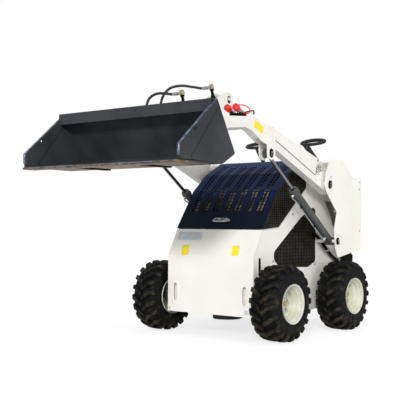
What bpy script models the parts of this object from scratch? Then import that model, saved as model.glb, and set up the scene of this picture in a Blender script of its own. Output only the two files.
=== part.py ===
"""Wheeled mini skid steer loader with its bucket raised, as an assembly of separate pieces.

Metres, +Z up, +X to the machine's left and the bucket towards -Y. Heights count from the
ground and lengths from the midpoint between the axles. The whole machine hangs on one
empty, which puts the middle of its overall length at the origin.
"""
import math

import bmesh
import bpy
from mathutils import Matrix, Vector

# Fit of one piece on the next
SEAT = 0.0003
RUNNING = 0.0006
OVERRUN = 0.02
ARC_STEP = math.radians(30)
ROUND_SEGMENTS = 16

# Running gear
WHEELBASE = 0.850
TRACK = 1.020
TYRE_DIAMETER = 0.508
TYRE_WIDTH = 0.204
LUGS = 20
LUG_HEIGHT = 0.0165
RIM_RADIUS = 0.124
RIM_LIP = 0.008
RIM_WIDTH = 0.208
RIM_GAUGE = 0.004
RIM_FACE = 0.018
RIM_DISC_GAUGE = 0.010
HUB_RADIUS = 0.034
HUB_HEIGHT = 0.026
MOTOR_RADIUS = 0.058
MOTOR_LENGTH = 0.085
SHAFT_RADIUS = 0.022
WHEEL_SEGMENTS = 20

# Body
BODY_WIDTH = 0.738
SIDE_INSET = 0.005
SHEET = 0.006
BELLY_HEIGHT = 0.155
FRONT_OVERHANG = 0.115
REAR_OVERHANG = 0.232
NOSE_BEND_HEIGHT = 0.557
COWL_SETBACK = 0.104
COWL_HEIGHT = 0.738
DECK_HEIGHT = 1.190
FLOOR_GAUGE = 0.010
RAIL_WIDTH = 0.050
RAIL_HEIGHT = 0.070
RAIL_SPREAD = 0.440

# Loader arms. Each pin's place is given as its distance (y, z) from the piece that it follows: the lift
# pivot from the tower's foot at its nose, the bucket's pins from the lift pivot.
LIFT_PIVOT_OFFSET = (0.058, 0.528)
TILT_PIVOT_OFFSET = (-1.315, 0.251)
ARM_SPREAD = 0.950
ARM_WIDTH = 0.060
ARM_WALL = 0.006
PIVOT_PIN_RADIUS = 0.020
BUCKET_PIN_RADIUS = 0.016

# Cylinders: the lift's base pin from the tower, the tilt's eye from the bucket's pins and the others from
# the lift pivot
LIFT_BASE_OFFSET = (0.172, 0.120)
LIFT_EYE_OFFSET = (-0.719, 0.178)
TILT_BASE_OFFSET = (-0.571, 0.589)
TILT_EYE_OFFSET = (-0.020, 0.146)
LIFT_BARREL_RADIUS = 0.0285
LIFT_BARREL_LENGTH = 0.631
LIFT_ROD_RADIUS = 0.012
LIFT_ROD_HELD = 0.325
LIFT_EYE_RADIUS = 0.030
LIFT_EYE_WIDTH = 0.036
TILT_BARREL_RADIUS = 0.030
TILT_BARREL_LENGTH = 0.520
TILT_ROD_RADIUS = 0.014
TILT_ROD_HELD = 0.235
TILT_EYE_RADIUS = 0.028
TILT_EYE_WIDTH = 0.044
CYLINDER_PIN_RADIUS = 0.013
BORE_FLOOR = 0.045

# Bucket
BUCKET_WIDTH = 1.273
BUCKET_DEPTH = 0.524
PIN_TO_BACK = 0.015
PIN_TO_BASE = 0.191
BUCKET_HEIGHT = 0.376
BUCKET_SHEET = 0.006
BUCKET_SIDE = 0.010

# Towers
TOWER_LENGTH = 0.541
TOWER_FOOT = 0.535
TOWER_HEIGHT = 0.712
TOWER_OUTER = 0.540
TOWER_PLATE = 0.008

# Console between the towers
CONSOLE_LENGTH = 0.442
CONSOLE_BASE = 0.950
CONSOLE_HEIGHT = 0.300

# Hood
HOOD_WIDTH = 0.747
HOOD_SHEET = 0.003
HOOD_SETBACK = 0.102
HINGE_CLEARANCE = 0.030
HOOD_FOOT = 0.744
HOOD_HEIGHT = 0.506
HINGE_PIN_RADIUS = 0.005
HINGE_LUG_RADIUS = 0.007
HINGE_RADIUS = 0.012
HINGE_SPREAD = 0.520
HINGE_LENGTH = 0.040

# Standing platform
PLATFORM_LENGTH = 0.300
PLATFORM_HEIGHT = 0.240
PLATFORM_WIDTH = 0.660


# For each view: the turn of a flat outline, and the world axes that run across and up
VIEWS = {
    "side": ((math.pi / 2, 0, math.pi / 2), 1, 2),
    "front": ((math.pi / 2, 0, 0), 0, 2),
    "top": ((0, 0, 0), 0, 1),
}


def material(name, colour, roughness, metallic=0.0):
    """A Principled surface with one colour, roughness and metallic value."""
    found = bpy.data.materials.get(name) or bpy.data.materials.new(name)
    found.use_nodes = True
    shader = found.node_tree.nodes["Principled BSDF"]
    shader.inputs["Base Color"].default_value = (*colour, 1.0)
    shader.inputs["Roughness"].default_value = roughness
    shader.inputs["Metallic"].default_value = metallic
    found.diffuse_color = (*colour, 1.0)
    return found


def empty(name, place, parent=None):
    """An empty at a world place, on which a moving body hangs."""
    frame = bpy.data.objects.new(name, None)
    frame["place"] = place
    frame.empty_display_size = SHEET
    frame.location = Vector(place) - Vector(parent["place"] if parent else (0, 0, 0))
    frame.parent = parent
    parts.objects.link(frame)
    return frame


def add(name, data, body, place, surface=None, turn=(0, 0, 0)):
    """Put a mesh or curve in the scene as a piece, or as a cutter where it has no surface."""
    piece = bpy.data.objects.new(name, data)
    piece.parent = body
    piece.location = Vector(place) - Vector(body["place"])
    piece.rotation_euler = turn
    if surface:
        data.materials.append(surface)
        parts.objects.link(piece)
    else:
        piece.hide_render = True
        piece.display_type = "WIRE"
        cutters.objects.link(piece)
    return piece


def meshed(curve_piece):
    """Swap a curve for its closed mesh, with the caps welded on."""
    bpy.context.view_layer.update()
    name, surface = curve_piece.name, curve_piece.data.materials[:]
    solid = bpy.data.meshes.new_from_object(
        curve_piece.evaluated_get(bpy.context.evaluated_depsgraph_get()))
    work = bmesh.new()
    work.from_mesh(solid)
    bmesh.ops.remove_doubles(work, verts=work.verts, dist=SEAT / 10)
    bmesh.ops.dissolve_limit(work, angle_limit=math.radians(0.5), verts=work.verts, edges=work.edges)
    bmesh.ops.recalc_face_normals(work, faces=work.faces)
    work.to_mesh(solid)
    work.free()
    solid.materials.clear()
    for each in surface:
        solid.materials.append(each)
    swapped = bpy.data.objects.new(name + ".mesh", solid)
    swapped.parent = curve_piece.parent
    swapped.location = curve_piece.location
    swapped.rotation_euler = curve_piece.rotation_euler
    swapped.hide_render = curve_piece.hide_render
    swapped.display_type = curve_piece.display_type
    for collection in curve_piece.users_collection:
        collection.objects.link(swapped)
    bpy.data.objects.remove(curve_piece)
    swapped.name = name
    return swapped


def rounded(corners):
    """Points of a closed outline whose corners (y, z, radius) are rounded by arcs."""
    points = []
    for index, (y, z, radius) in enumerate(corners):
        here = Vector((y, z))
        if radius == 0:
            points.append(here)
            continue
        back = (Vector(corners[index - 1][:2]) - here).normalized()
        ahead = (Vector(corners[(index + 1) % len(corners)][:2]) - here).normalized()
        half = back.angle(ahead) / 2
        centre = here + (back + ahead).normalized() * (radius / math.sin(half))
        start = here + back * (radius / math.tan(half)) - centre
        turn = math.copysign(math.pi - 2 * half, back.cross(ahead))
        steps = max(1, round(abs(turn) / ARC_STEP))
        for step in range(steps + 1):
            angle = -turn * step / steps
            cosine, sine = math.cos(angle), math.sin(angle)
            points.append(centre + Vector((start.x * cosine - start.y * sine,
                                           start.x * sine + start.y * cosine)))
    return points


def from_shares(shares, origin, size):
    """Corners (y, z, radius) of an outline given as shares of its length and height."""
    return [(origin[0] + along * size[0], origin[1] + up * size[1], radius * size[1])
            for along, up, radius in shares]


def mirrored(corners):
    """A whole outline from the corners of its half at positive X, listed from bottom to top."""
    return corners + [(-x, *rest) for x, *rest in reversed(corners)]


def flat(name, loops, thickness, middle, body, surface=None, view="side"):
    """A plate seen from one side: the first loop is its outline and the others are holes."""
    turn, across, up = VIEWS[view]
    curve = bpy.data.curves.new(name, "CURVE")
    curve.dimensions = "2D"
    curve.fill_mode = "BOTH"
    curve.extrude = thickness / 2
    origin = list(body["place"])
    origin[3 - across - up] = middle
    for loop in loops:
        spline = curve.splines.new("POLY")
        spline.points.add(len(loop) - 1)
        spline.use_cyclic_u = True
        for point, at in zip(spline.points, loop):
            point.co = (at[0] - origin[across], at[1] - origin[up], 0, 1)
    return meshed(add(name, curve, body, origin, surface, turn))


def box(name, low, high, body, surface=None):
    """A block between two corners."""
    size = Vector(high) - Vector(low)
    work = bmesh.new()
    bmesh.ops.create_cube(work, size=1)
    bmesh.ops.scale(work, vec=size, verts=work.verts)
    mesh = bpy.data.meshes.new(name)
    work.to_mesh(mesh)
    work.free()
    return add(name, mesh, body, Vector(low) + size / 2, surface)


def bar(name, radius, start, end, body, surface=None, segments=ROUND_SEGMENTS):
    """A round bar between two points."""
    along = Vector(end) - Vector(start)
    work = bmesh.new()
    bmesh.ops.create_cone(work, cap_ends=True, segments=segments, radius1=radius, radius2=radius,
                          depth=along.length)
    mesh = bpy.data.meshes.new(name)
    work.to_mesh(mesh)
    work.free()
    turn = along.to_track_quat("Z", "Y").to_euler()
    return add(name, mesh, body, Vector(start) + along / 2, surface, turn)


def turned(name, profile, place, turn, body, surface=None, segments=ROUND_SEGMENTS):
    """A profile of (radius, height) points, outer side first and downwards, turned about Z."""
    mesh = bpy.data.meshes.new(name)
    points = [(radius, 0, height) for radius, height in profile]
    mesh.from_pydata(points, [(step, step + 1) for step in range(len(points) - 1)], [])
    piece = add(name, mesh, body, place, surface, turn)
    screw = piece.modifiers.new("turn", "SCREW")
    screw.steps = segments
    screw.render_steps = segments
    screw.use_merge_vertices = True
    screw.merge_threshold = SEAT / 10
    return piece


def change(piece, other, operation):
    """Cut, join or trim a piece by another with an exact Boolean."""
    step = piece.modifiers.new(other.name, "BOOLEAN")
    step.operation = operation
    step.solver = "EXACT"
    step.object = other
    return piece


def joined(piece, others):
    """Weld further shapes onto a piece."""
    for other in others:
        change(piece, other, "UNION")
    return piece


def cut(piece, others):
    """Cut further shapes out of a piece."""
    for other in others:
        change(piece, other, "DIFFERENCE")
    return piece


def tube(name, radius, points, body, surface, resolution=2, closed=False):
    """A round wire or hose through points, with filled caps unless it closes on itself."""
    curve = bpy.data.curves.new(name, "CURVE")
    curve.dimensions = "3D"
    curve.bevel_depth = radius
    curve.bevel_resolution = resolution
    curve.use_fill_caps = True
    spline = curve.splines.new("POLY")
    spline.use_cyclic_u = closed
    spline.points.add(len(points) - 1)
    for point, at in zip(spline.points, points):
        point.co = (*(Vector(at) - Vector(body["place"])), 1)
    return meshed(add(name, curve, body, body["place"], surface))


def smooth_route(knots, steps):
    """Points on the smooth curve that passes through the knots of a hose's route."""
    knots = [Vector(knot) for knot in knots]
    padded = [2 * knots[0] - knots[1], *knots, 2 * knots[-1] - knots[-2]]
    points = []
    for before, start, end, after in zip(padded, padded[1:], padded[2:], padded[3:]):
        for step in range(steps):
            t = step / steps
            points.append(((2 * start) + (end - before) * t
                           + (2 * before - 5 * start + 4 * end - after) * t ** 2
                           + (3 * start - before - 3 * end + after) * t ** 3) / 2)
    points.append(knots[-1])
    return points


def moved(start, offset):
    """The point at an offset from another in the side view."""
    return (start[0] + offset[0], start[1] + offset[1])


def lofted(name, rings, place, turn, body, surface):
    """A closed skin over rings of points, of which the last joins the first."""
    work = bmesh.new()
    grid = [[work.verts.new(point) for point in ring] for ring in rings]
    for ring, other in zip(grid, grid[1:] + grid[:1]):
        for step, here in enumerate(ring):
            ahead = (step + 1) % len(ring)
            work.faces.new((here, ring[ahead], other[ahead], other[step]))
    bmesh.ops.triangulate(work, faces=work.faces)
    bmesh.ops.recalc_face_normals(work, faces=work.faces)
    mesh = bpy.data.meshes.new(name)
    work.to_mesh(mesh)
    work.free()
    return add(name, mesh, body, place, surface, turn)


def lift(point, x):
    """A side-view point set at a sideways place."""
    return Vector((x, point[0], point[1]))


for old in list(bpy.data.objects):
    bpy.data.objects.remove(old)
parts = bpy.data.collections.new("mini_skid_steer_loader")
cutters = bpy.data.collections.new("cutters")
bpy.context.scene.collection.children.link(parts)
bpy.context.scene.collection.children.link(cutters)

white = material("white_paint", (0.86, 0.84, 0.80), 0.35)
navy = material("navy_paint", (0.010, 0.016, 0.040), 0.25)
black = material("black_paint", (0.010, 0.010, 0.010), 0.45)
charcoal = material("charcoal_paint", (0.045, 0.047, 0.055), 0.55)
rubber = material("tyre_rubber", (0.018, 0.016, 0.013), 0.80)
steel = material("bare_steel", (0.45, 0.45, 0.46), 0.30, 1.0)
iron = material("cast_iron", (0.06, 0.06, 0.06), 0.60, 0.6)
hose_rubber = material("hose_rubber", (0.012, 0.012, 0.012), 0.60)
red = material("red_plastic", (0.60, 0.02, 0.02), 0.40)
glass = material("lamp_lens", (0.75, 0.78, 0.80), 0.12)

SIDES = (("left", 1), ("right", -1))
AXLES = (("front", -1), ("rear", 1))
TYRE_RADIUS = TYRE_DIAMETER / 2
PANEL_OUTER = BODY_WIDTH / 2 - SIDE_INSET
PANEL_MIDDLE = PANEL_OUTER - SHEET / 2
BODY_FRONT = -WHEELBASE / 2 - FRONT_OVERHANG
BODY_REAR = WHEELBASE / 2 + REAR_OVERHANG
TOWER_FRONT = BODY_REAR - TOWER_LENGTH
CONSOLE_FRONT = BODY_REAR - CONSOLE_LENGTH
LIFT_PIVOT = moved((TOWER_FRONT, TOWER_FOOT), LIFT_PIVOT_OFFSET)
LIFT_BASE = moved((TOWER_FRONT, TOWER_FOOT), LIFT_BASE_OFFSET)
LIFT_EYE = moved(LIFT_PIVOT, LIFT_EYE_OFFSET)
TILT_BASE = moved(LIFT_PIVOT, TILT_BASE_OFFSET)
TILT_PIVOT = moved(LIFT_PIVOT, TILT_PIVOT_OFFSET)
TILT_EYE = moved(TILT_PIVOT, TILT_EYE_OFFSET)
ARM_MIDDLE = ARM_SPREAD / 2
ARM_OUTER = ARM_MIDDLE + ARM_WIDTH / 2
ARM_INNER = ARM_MIDDLE - ARM_WIDTH / 2

BUCKET_FRONT = TILT_PIVOT[0] + PIN_TO_BACK - BUCKET_DEPTH
BUCKET_BASE = TILT_PIVOT[1] - PIN_TO_BASE

# The cutting edge reaches past the bucket's front, and the platform ends the machine behind
CUTTING_EDGE_REACH = 0.012
MACHINE_FRONT = BUCKET_FRONT - CUTTING_EDGE_REACH
MACHINE_REAR = BODY_REAR + SHEET + PLATFORM_LENGTH
machine = empty("machine", (0, -(MACHINE_FRONT + MACHINE_REAR) / 2, 0))
machine["place"] = (0, 0, 0)

chassis_body = empty("chassis_body", (0, 0, 0), machine)
arm_body = empty("arm_body", (0, *LIFT_PIVOT), machine)
bucket_body = empty("bucket_body", (0, *TILT_PIVOT), arm_body)
HOOD_FRONT = BODY_FRONT + HOOD_SETBACK
HOOD_LENGTH = CONSOLE_FRONT - HINGE_CLEARANCE - HOOD_FRONT
HOOD_HINGE = (HOOD_FRONT + HOOD_LENGTH, HOOD_FOOT + HOOD_HEIGHT - HINGE_RADIUS)
hood_body = empty("hood_body", (0, *HOOD_HINGE), machine)


# Wheels: a tyre on a dished steel rim, turned about the axle, and the motor that carries it
def rim_profile():
    """Half-sections (radius, height) from the hub's outer end over the lips to its inner end."""
    half = RIM_WIDTH / 2
    lip = RIM_RADIUS + RIM_LIP
    drop = RIM_RADIUS - 2 * RIM_LIP
    face = RIM_FACE
    back = RIM_FACE - RIM_DISC_GAUGE
    shoulder = half - 4 * RIM_LIP
    well = shoulder - RIM_LIP
    dish = drop - RIM_GAUGE
    bead = RIM_RADIUS - RIM_GAUGE
    edge = half - RIM_GAUGE
    return [
        (0, face + HUB_HEIGHT), (HUB_RADIUS, face + HUB_HEIGHT), (HUB_RADIUS, face),
        (dish, face), (dish, well), (bead, shoulder), (bead, edge - RIM_GAUGE), (lip, half),
        (RIM_RADIUS, edge - RIM_GAUGE), (RIM_RADIUS, shoulder), (drop, well), (drop, -well),
        (RIM_RADIUS, -shoulder), (RIM_RADIUS, RIM_GAUGE - edge), (lip, -half), (bead, RIM_GAUGE - edge),
        (dish, -well), (dish, back), (0, back)]


# The tread is a V of bars: each row is a ring from the crown outwards, by its shares of the half width,
# of the crown's radius and of the bars' height, and by how far it trails the crown in bars' pitches
TREAD_SHARES = ((0.0, 1.0, 1.0, 0.0), (0.78, 0.965, 0.95, 0.60), (1.0, 0.80, 0.15, 0.85))
CAVITY_SHARES = (0.74, 0.865)
# A bar's two top edges and the bottom of the notch behind it, by their shares of a pitch and of its height
LUG_SHARES = ((0.0, 1.0), (0.42, 1.0), (0.71, 0.0))


def tyre_rings(across):
    """Rings of points round a tyre: over the tread, down both sidewalls and round the cavity."""
    half = TYRE_WIDTH / 2
    crown = TYRE_RADIUS - LUG_HEIGHT
    trail = TREAD_SHARES[-1][3]
    half_section = [(out * half, up * crown, rise * LUG_HEIGHT, lag) for out, up, rise, lag in TREAD_SHARES]
    half_section += [(RIM_WIDTH / 2 - 3 * RIM_GAUGE, RIM_RADIUS + 2 * SEAT, 0, trail),
                     (CAVITY_SHARES[0] * half, CAVITY_SHARES[1] * crown, 0, trail)]
    section = half_section + [(-out, *rest) for out, *rest in reversed(half_section[1:])]
    rings = []
    for out, radius, rise, lag in section:
        ring = []
        for lug in range(LUGS):
            for share, top in LUG_SHARES:
                angle = 2 * math.pi * (lug + share - across * lag) / LUGS
                reach = radius + rise * top
                ring.append((reach * math.cos(angle), reach * math.sin(angle), out))
        rings.append(ring)
    return rings


for axle, along in AXLES:
    for side, across in SIDES:
        centre = (across * TRACK / 2, along * WHEELBASE / 2, TYRE_RADIUS)
        wheel = empty(f"wheel_{axle}_{side}", centre, machine)
        outward = (0, across * math.pi / 2, 0)
        lofted(f"tyre_{axle}_{side}", tyre_rings(across), centre, outward, wheel, rubber)
        turned(f"rim_{axle}_{side}", rim_profile(), centre, outward, wheel, white, segments=WHEEL_SEGMENTS)
        flange = TRACK / 2 + RIM_FACE - RIM_DISC_GAUGE - SEAT
        seat = PANEL_OUTER + SEAT
        turned(f"wheel_motor_{axle}_{side}",
               [(0, flange), (SHAFT_RADIUS, flange), (SHAFT_RADIUS, seat + MOTOR_LENGTH),
                (MOTOR_RADIUS, seat + MOTOR_LENGTH), (MOTOR_RADIUS, seat), (0, seat)],
               (0, centre[1], centre[2]), outward, chassis_body, iron)

# Chassis: a floor on two rails, and the engine's block standing on them
inner_face = PANEL_OUTER - SHEET - SEAT
chassis = box("chassis", (-inner_face, BODY_FRONT + SHEET + SEAT, BELLY_HEIGHT),
              (inner_face, BODY_REAR - SHEET - SEAT, BELLY_HEIGHT + FLOOR_GAUGE), chassis_body, black)
rail_top = BELLY_HEIGHT + FLOOR_GAUGE + RAIL_HEIGHT
rail_foot = BELLY_HEIGHT + FLOOR_GAUGE / 2
rails = [box(f"chassis.rail_{side}",
             ((across * RAIL_SPREAD - RAIL_WIDTH) / 2, BODY_FRONT + RAIL_WIDTH, rail_foot),
             ((across * RAIL_SPREAD + RAIL_WIDTH) / 2, BODY_REAR - RAIL_WIDTH, rail_top), chassis_body)
         for side, across in SIDES]
SUMP_SETBACK = 0.210
SUMP_RADIUS = 0.100
SUMP_DEPTH = 0.045
sump_middle = BODY_FRONT + SUMP_SETBACK
sump = bar("chassis.sump", SUMP_RADIUS, (0, sump_middle, BELLY_HEIGHT - SUMP_DEPTH),
           (0, sump_middle, BELLY_HEIGHT + FLOOR_GAUGE / 2), chassis_body)
joined(chassis, [*rails, sump])

ENGINE_SETBACK = 0.310
ENGINE_SIZE = (0.460, 0.420, 0.400)
engine_foot = rail_top + SEAT
engine_front = BODY_FRONT + ENGINE_SETBACK
box("engine_block", (-ENGINE_SIZE[0] / 2, engine_front, engine_foot),
    (ENGINE_SIZE[0] / 2, engine_front + ENGINE_SIZE[1], engine_foot + ENGINE_SIZE[2]), chassis_body, iron)

# Front plate: one sheet bent back under the hood, with two tie-down holes
TIE_DOWN_SPREAD = 0.596
TIE_DOWN_HEIGHT = 0.295
TIE_DOWN_LENGTH = 0.120
TIE_DOWN_WIDTH = 0.034
cowl_rise = COWL_HEIGHT - NOSE_BEND_HEIGHT
lean = SHEET * math.hypot(COWL_SETBACK, cowl_rise) / cowl_rise
inner_bend = NOSE_BEND_HEIGHT - (lean - SHEET) * cowl_rise / COWL_SETBACK
front_plate = flat("front_plate", [[
    (BODY_FRONT, BELLY_HEIGHT), (BODY_FRONT, NOSE_BEND_HEIGHT),
    (BODY_FRONT + COWL_SETBACK, COWL_HEIGHT), (BODY_FRONT + COWL_SETBACK + lean, COWL_HEIGHT),
    (BODY_FRONT + SHEET, inner_bend), (BODY_FRONT + SHEET, BELLY_HEIGHT)]],
    BODY_WIDTH, 0, chassis_body, white)
for side, across in SIDES:
    middle = across * TIE_DOWN_SPREAD / 2
    half = TIE_DOWN_WIDTH / 2
    reach = TIE_DOWN_LENGTH / 2
    slot = rounded([(middle + shift * half, TIE_DOWN_HEIGHT + rise * reach, half)
                    for shift, rise in ((-1, -1), (1, -1), (1, 1), (-1, 1))])
    cut(front_plate, [flat(f"front_plate.tie_down_{side}", [slot], SHEET + OVERRUN, BODY_FRONT + SHEET / 2,
                           chassis_body, view="front")])

# Side panels: flush behind the front plate's edge, with the radiator opening and a hand slot.
# Shares run along the body from the front plate's face and up from its underside to the deck.
BODY_SIZE = (BODY_REAR - BODY_FRONT, DECK_HEIGHT - BELLY_HEIGHT)
BODY_ORIGIN = (BODY_FRONT, BELLY_HEIGHT)
PANEL_REAR_SHARES = (
    (0.263, 0.800, 0), (0.468, 0.965, 0), (0.510, 1.0, 0), (0.727, 1.0, 0), (0.752, 0.874, 0),
    (0.784, 0.785, 0), (0.861, 0.684, 0), (0.913, 0.574, 0), (0.945, 0.527, 0), (1.0, 0.527, 0))
OPENING_SHARES = (
    (0.213, 0.365, 0.03), (0.213, 0.416, 0.03), (0.506, 0.647, 0), (0.660, 0.728, 0.05),
    (0.689, 0.700, 0.02), (0.690, 0.339, 0.02), (0.598, 0.300, 0.03), (0.271, 0.312, 0.04))
SLOT_SHARES = ((0.060, 0.293, 0), (0.073, 0.293, 0), (0.073, 0.375, 0), (0.060, 0.375, 0))
GRILLE_BORDER = 0.018
GRILLE_SHEET = 0.003
front_edge = BODY_FRONT + SHEET + SEAT
panel_outline = rounded([(front_edge, BELLY_HEIGHT, 0), (front_edge, inner_bend, 0),
                         (front_edge + COWL_SETBACK + lean - SHEET, COWL_HEIGHT, 0),
                         *from_shares(PANEL_REAR_SHARES, BODY_ORIGIN, BODY_SIZE),
                         (BODY_REAR, BELLY_HEIGHT, 0)])
opening = rounded(from_shares(OPENING_SHARES, BODY_ORIGIN, BODY_SIZE))
slot = rounded(from_shares(SLOT_SHARES, BODY_ORIGIN, BODY_SIZE))
opening_middle = sum(opening, Vector((0, 0))) / len(opening)
for side, across in SIDES:
    flat(f"side_panel_{side}", [panel_outline, opening, slot], SHEET, across * PANEL_MIDDLE,
         chassis_body, white)
    grille_outline = [point + (point - opening_middle).normalized() * GRILLE_BORDER for point in opening]
    flat(f"side_grille_{side}", [grille_outline], GRILLE_SHEET,
         across * (PANEL_OUTER - SHEET - SEAT - GRILLE_SHEET / 2), chassis_body, black)

# Rear panel and the console on it
box("rear_panel", (-inner_face, BODY_REAR - SHEET, BELLY_HEIGHT),
    (inner_face, BODY_REAR, CONSOLE_BASE - SEAT), chassis_body, white)
CONSOLE_SHARES = ((0, 0.23, 0), (0, 0.983, 0.05), (0.426, 1.0, 0.05), (0.933, 0.70, 0.05), (1, 0.60, 0),
                  (1, 0, 0), (0.54, 0, 0))
console_origin = (CONSOLE_FRONT, CONSOLE_BASE)
console_size = (BODY_REAR - CONSOLE_FRONT, CONSOLE_HEIGHT)
console_outline = from_shares(CONSOLE_SHARES, console_origin, console_size)
console = flat("console", [rounded(console_outline)], 2 * inner_face, 0, chassis_body, white)

# The hood's hinge pin, on two lugs of the console
hinge_end = HINGE_SPREAD / 2 + HINGE_LENGTH
lug_outline = rounded([
    (CONSOLE_FRONT + HINGE_RADIUS, HOOD_HINGE[1] - 2 * HINGE_RADIUS, 0),
    (CONSOLE_FRONT + HINGE_RADIUS, HOOD_HINGE[1] - HINGE_RADIUS, 0),
    (HOOD_HINGE[0] - HINGE_LUG_RADIUS, HOOD_HINGE[1] + HINGE_LUG_RADIUS, HINGE_LUG_RADIUS / 2),
    (HOOD_HINGE[0] - HINGE_LUG_RADIUS, HOOD_HINGE[1] - HINGE_LUG_RADIUS, HINGE_LUG_RADIUS / 2)])
lugs = [flat(f"console.lug_{side}", [lug_outline], SHEET, across * (hinge_end - SHEET / 2), chassis_body)
        for side, across in SIDES]
hinge_pin = bar("console.hinge_pin", HINGE_PIN_RADIUS, lift(HOOD_HINGE, SHEET / 2 - hinge_end),
                lift(HOOD_HINGE, hinge_end - SHEET / 2), chassis_body, segments=12)
joined(console, [*lugs, hinge_pin])
dash_front, dash_rear = (Vector(corner[:2]) for corner in console_outline[2:4])
dash_along = (dash_rear - dash_front).normalized()
dash_up = Vector((-dash_along.y, dash_along.x))
DASH_WIDTH = 0.560
DASH_SHARES = (0.16, 0.88)
dash_span = [dash_front.lerp(dash_rear, share) for share in DASH_SHARES]
flat("dash_panel", [[dash_span[0] + dash_up * SEAT, dash_span[1] + dash_up * SEAT,
                     dash_span[1] + dash_up * SHEET, dash_span[0] + dash_up * SHEET]],
     DASH_WIDTH, 0, chassis_body, black)

# Drive levers: a leaning post in a bellows, with a loop to close the hand on
LEVER_SPREAD = 0.490
LEVER_ACROSS = 0.30
LEVER_LEAN = Vector((-0.030, -0.055, 0.160))
LEVER_POST_RADIUS = 0.010
BELLOWS_RADIUS = 0.028
BELLOWS_HEIGHT = 0.055
LOOP_LENGTH = 0.200
LOOP_WIDTH = 0.085
LOOP_RADIUS = 0.009
LOOP_OFFSET = 0.055
LOOP_RISE = 0.020
LOOP_STEPS = 16
loop_share = math.sqrt(1 - (2 * LOOP_OFFSET / LOOP_LENGTH) ** 2)
lever_foot = dash_front.lerp(dash_rear, LEVER_ACROSS) + dash_up * (SHEET + SEAT)
for side, across in SIDES:
    foot = Vector((across * LEVER_SPREAD / 2, *lever_foot))
    top = foot + Vector((across * LEVER_LEAN.x, LEVER_LEAN.y, LEVER_LEAN.z))
    collar = foot + lift(dash_up, 0) * BELLOWS_HEIGHT
    lever = bar(f"lever_{side}", LEVER_POST_RADIUS, (foot + collar) / 2, top, chassis_body, black, 12)
    bellows = bar(f"lever_{side}.bellows", BELLOWS_RADIUS, foot, collar, chassis_body, segments=12)
    rearward = Vector((0, LOOP_WIDTH / 2, LOOP_RISE))
    loop_centre = top + Vector((across * LOOP_OFFSET, 0, 0)) + rearward * loop_share
    ring = [loop_centre + Vector((LOOP_LENGTH / 2 * math.cos(2 * math.pi * step / LOOP_STEPS), 0, 0))
            + rearward * math.sin(2 * math.pi * step / LOOP_STEPS) for step in range(LOOP_STEPS)]
    loop = tube(f"lever_{side}.loop", LOOP_RADIUS, ring, chassis_body, None, 1, closed=True)
    joined(lever, [bellows, loop])

# Towers: an outer plate, its bent skirt, and the pins that it shares with the side panel.
# Shares run back from the tower's nose and up from its foot.
TOWER_ORIGIN = (TOWER_FRONT, TOWER_FOOT)
TOWER_SIZE = (TOWER_LENGTH, TOWER_HEIGHT)
TOWER_BACK_SHARES = ((0.490, 1.0, 0), (0.747, 0.829, 0), (1.0, 0.837, 0), (1.0, 0.080, 0))
TOWER_FRONT_SHARES = (
    (0.344, 0, 0.01), (0.283, 0.093, 0.02), (0.242, 0.284, 0.05), (0.316, 0.458, 0.03),
    (0.026, 0.670, 0.04), (0, 0.715, 0.02), (0.024, 0.857, 0.05), (0.129, 0.996, 0.04))
PIN_HEAD = 0.008
tower_back = from_shares(TOWER_BACK_SHARES, TOWER_ORIGIN, TOWER_SIZE)
tower_front = from_shares(TOWER_FRONT_SHARES, TOWER_ORIGIN, TOWER_SIZE)
tower_seat = PANEL_OUTER + SEAT
skirt_width = TOWER_OUTER - TOWER_PLATE / 2 - tower_seat
tower_top, tower_dip, tower_corner, tower_tail = (Vector(corner[:2]) for corner in tower_back)
drop = Vector((0, -TOWER_PLATE))
inward = Vector((-TOWER_PLATE, 0))
skirt_outline = [tower_top, tower_dip, tower_corner, tower_tail, tower_tail + inward,
                 tower_corner + drop + inward, tower_dip + drop, tower_top + drop + inward / 2]
for side, across in SIDES:
    tower = flat(f"tower_{side}", [rounded(tower_back + tower_front)], TOWER_PLATE,
                 across * (TOWER_OUTER - TOWER_PLATE / 2), chassis_body, white)
    skirt = flat(f"tower_{side}.skirt", [skirt_outline], skirt_width,
                 across * (tower_seat + skirt_width / 2), chassis_body)
    pins = [bar(f"tower_{side}.{name}", radius, lift(pin, across * tower_seat),
                lift(pin, across * (TOWER_OUTER + PIN_HEAD)), chassis_body)
            for name, radius, pin in (("lift_pivot", PIVOT_PIN_RADIUS, LIFT_PIVOT),
                                      ("cylinder_pin", CYLINDER_PIN_RADIUS, LIFT_BASE))]
    joined(tower, [skirt, *pins])

# Standing platform behind the machine, on an upright bolted to the rear panel
UPRIGHT_SHARES = ((0.36, -0.06, 0), (0.36, 0.46, 0), (0.50, 0.56, 0), (0.50, 0.88, 0), (0.46, 1.0, 0))
UPRIGHT_WIDTH = 0.934
UPRIGHT_HEIGHT = 0.345
TREAD_GAUGE = 0.008
GUSSET_HEIGHT = 0.140
GUSSET_GAUGE = 0.010
upright_face = BODY_REAR + SEAT
upright = flat("platform", [[(x * UPRIGHT_WIDTH, PLATFORM_HEIGHT + up * UPRIGHT_HEIGHT)
                             for x, up, _ in mirrored(list(UPRIGHT_SHARES))]],
               SHEET, upright_face + SHEET / 2, chassis_body, black, view="front")
deck = box("platform.deck", (-PLATFORM_WIDTH / 2, upright_face + SHEET / 2, PLATFORM_HEIGHT),
           (PLATFORM_WIDTH / 2, MACHINE_REAR, PLATFORM_HEIGHT + TREAD_GAUGE), chassis_body)
gusset_foot = PLATFORM_HEIGHT + TREAD_GAUGE / 2
gusset_front = upright_face + SHEET / 2
gusset_rear = MACHINE_REAR - GUSSET_GAUGE
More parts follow.
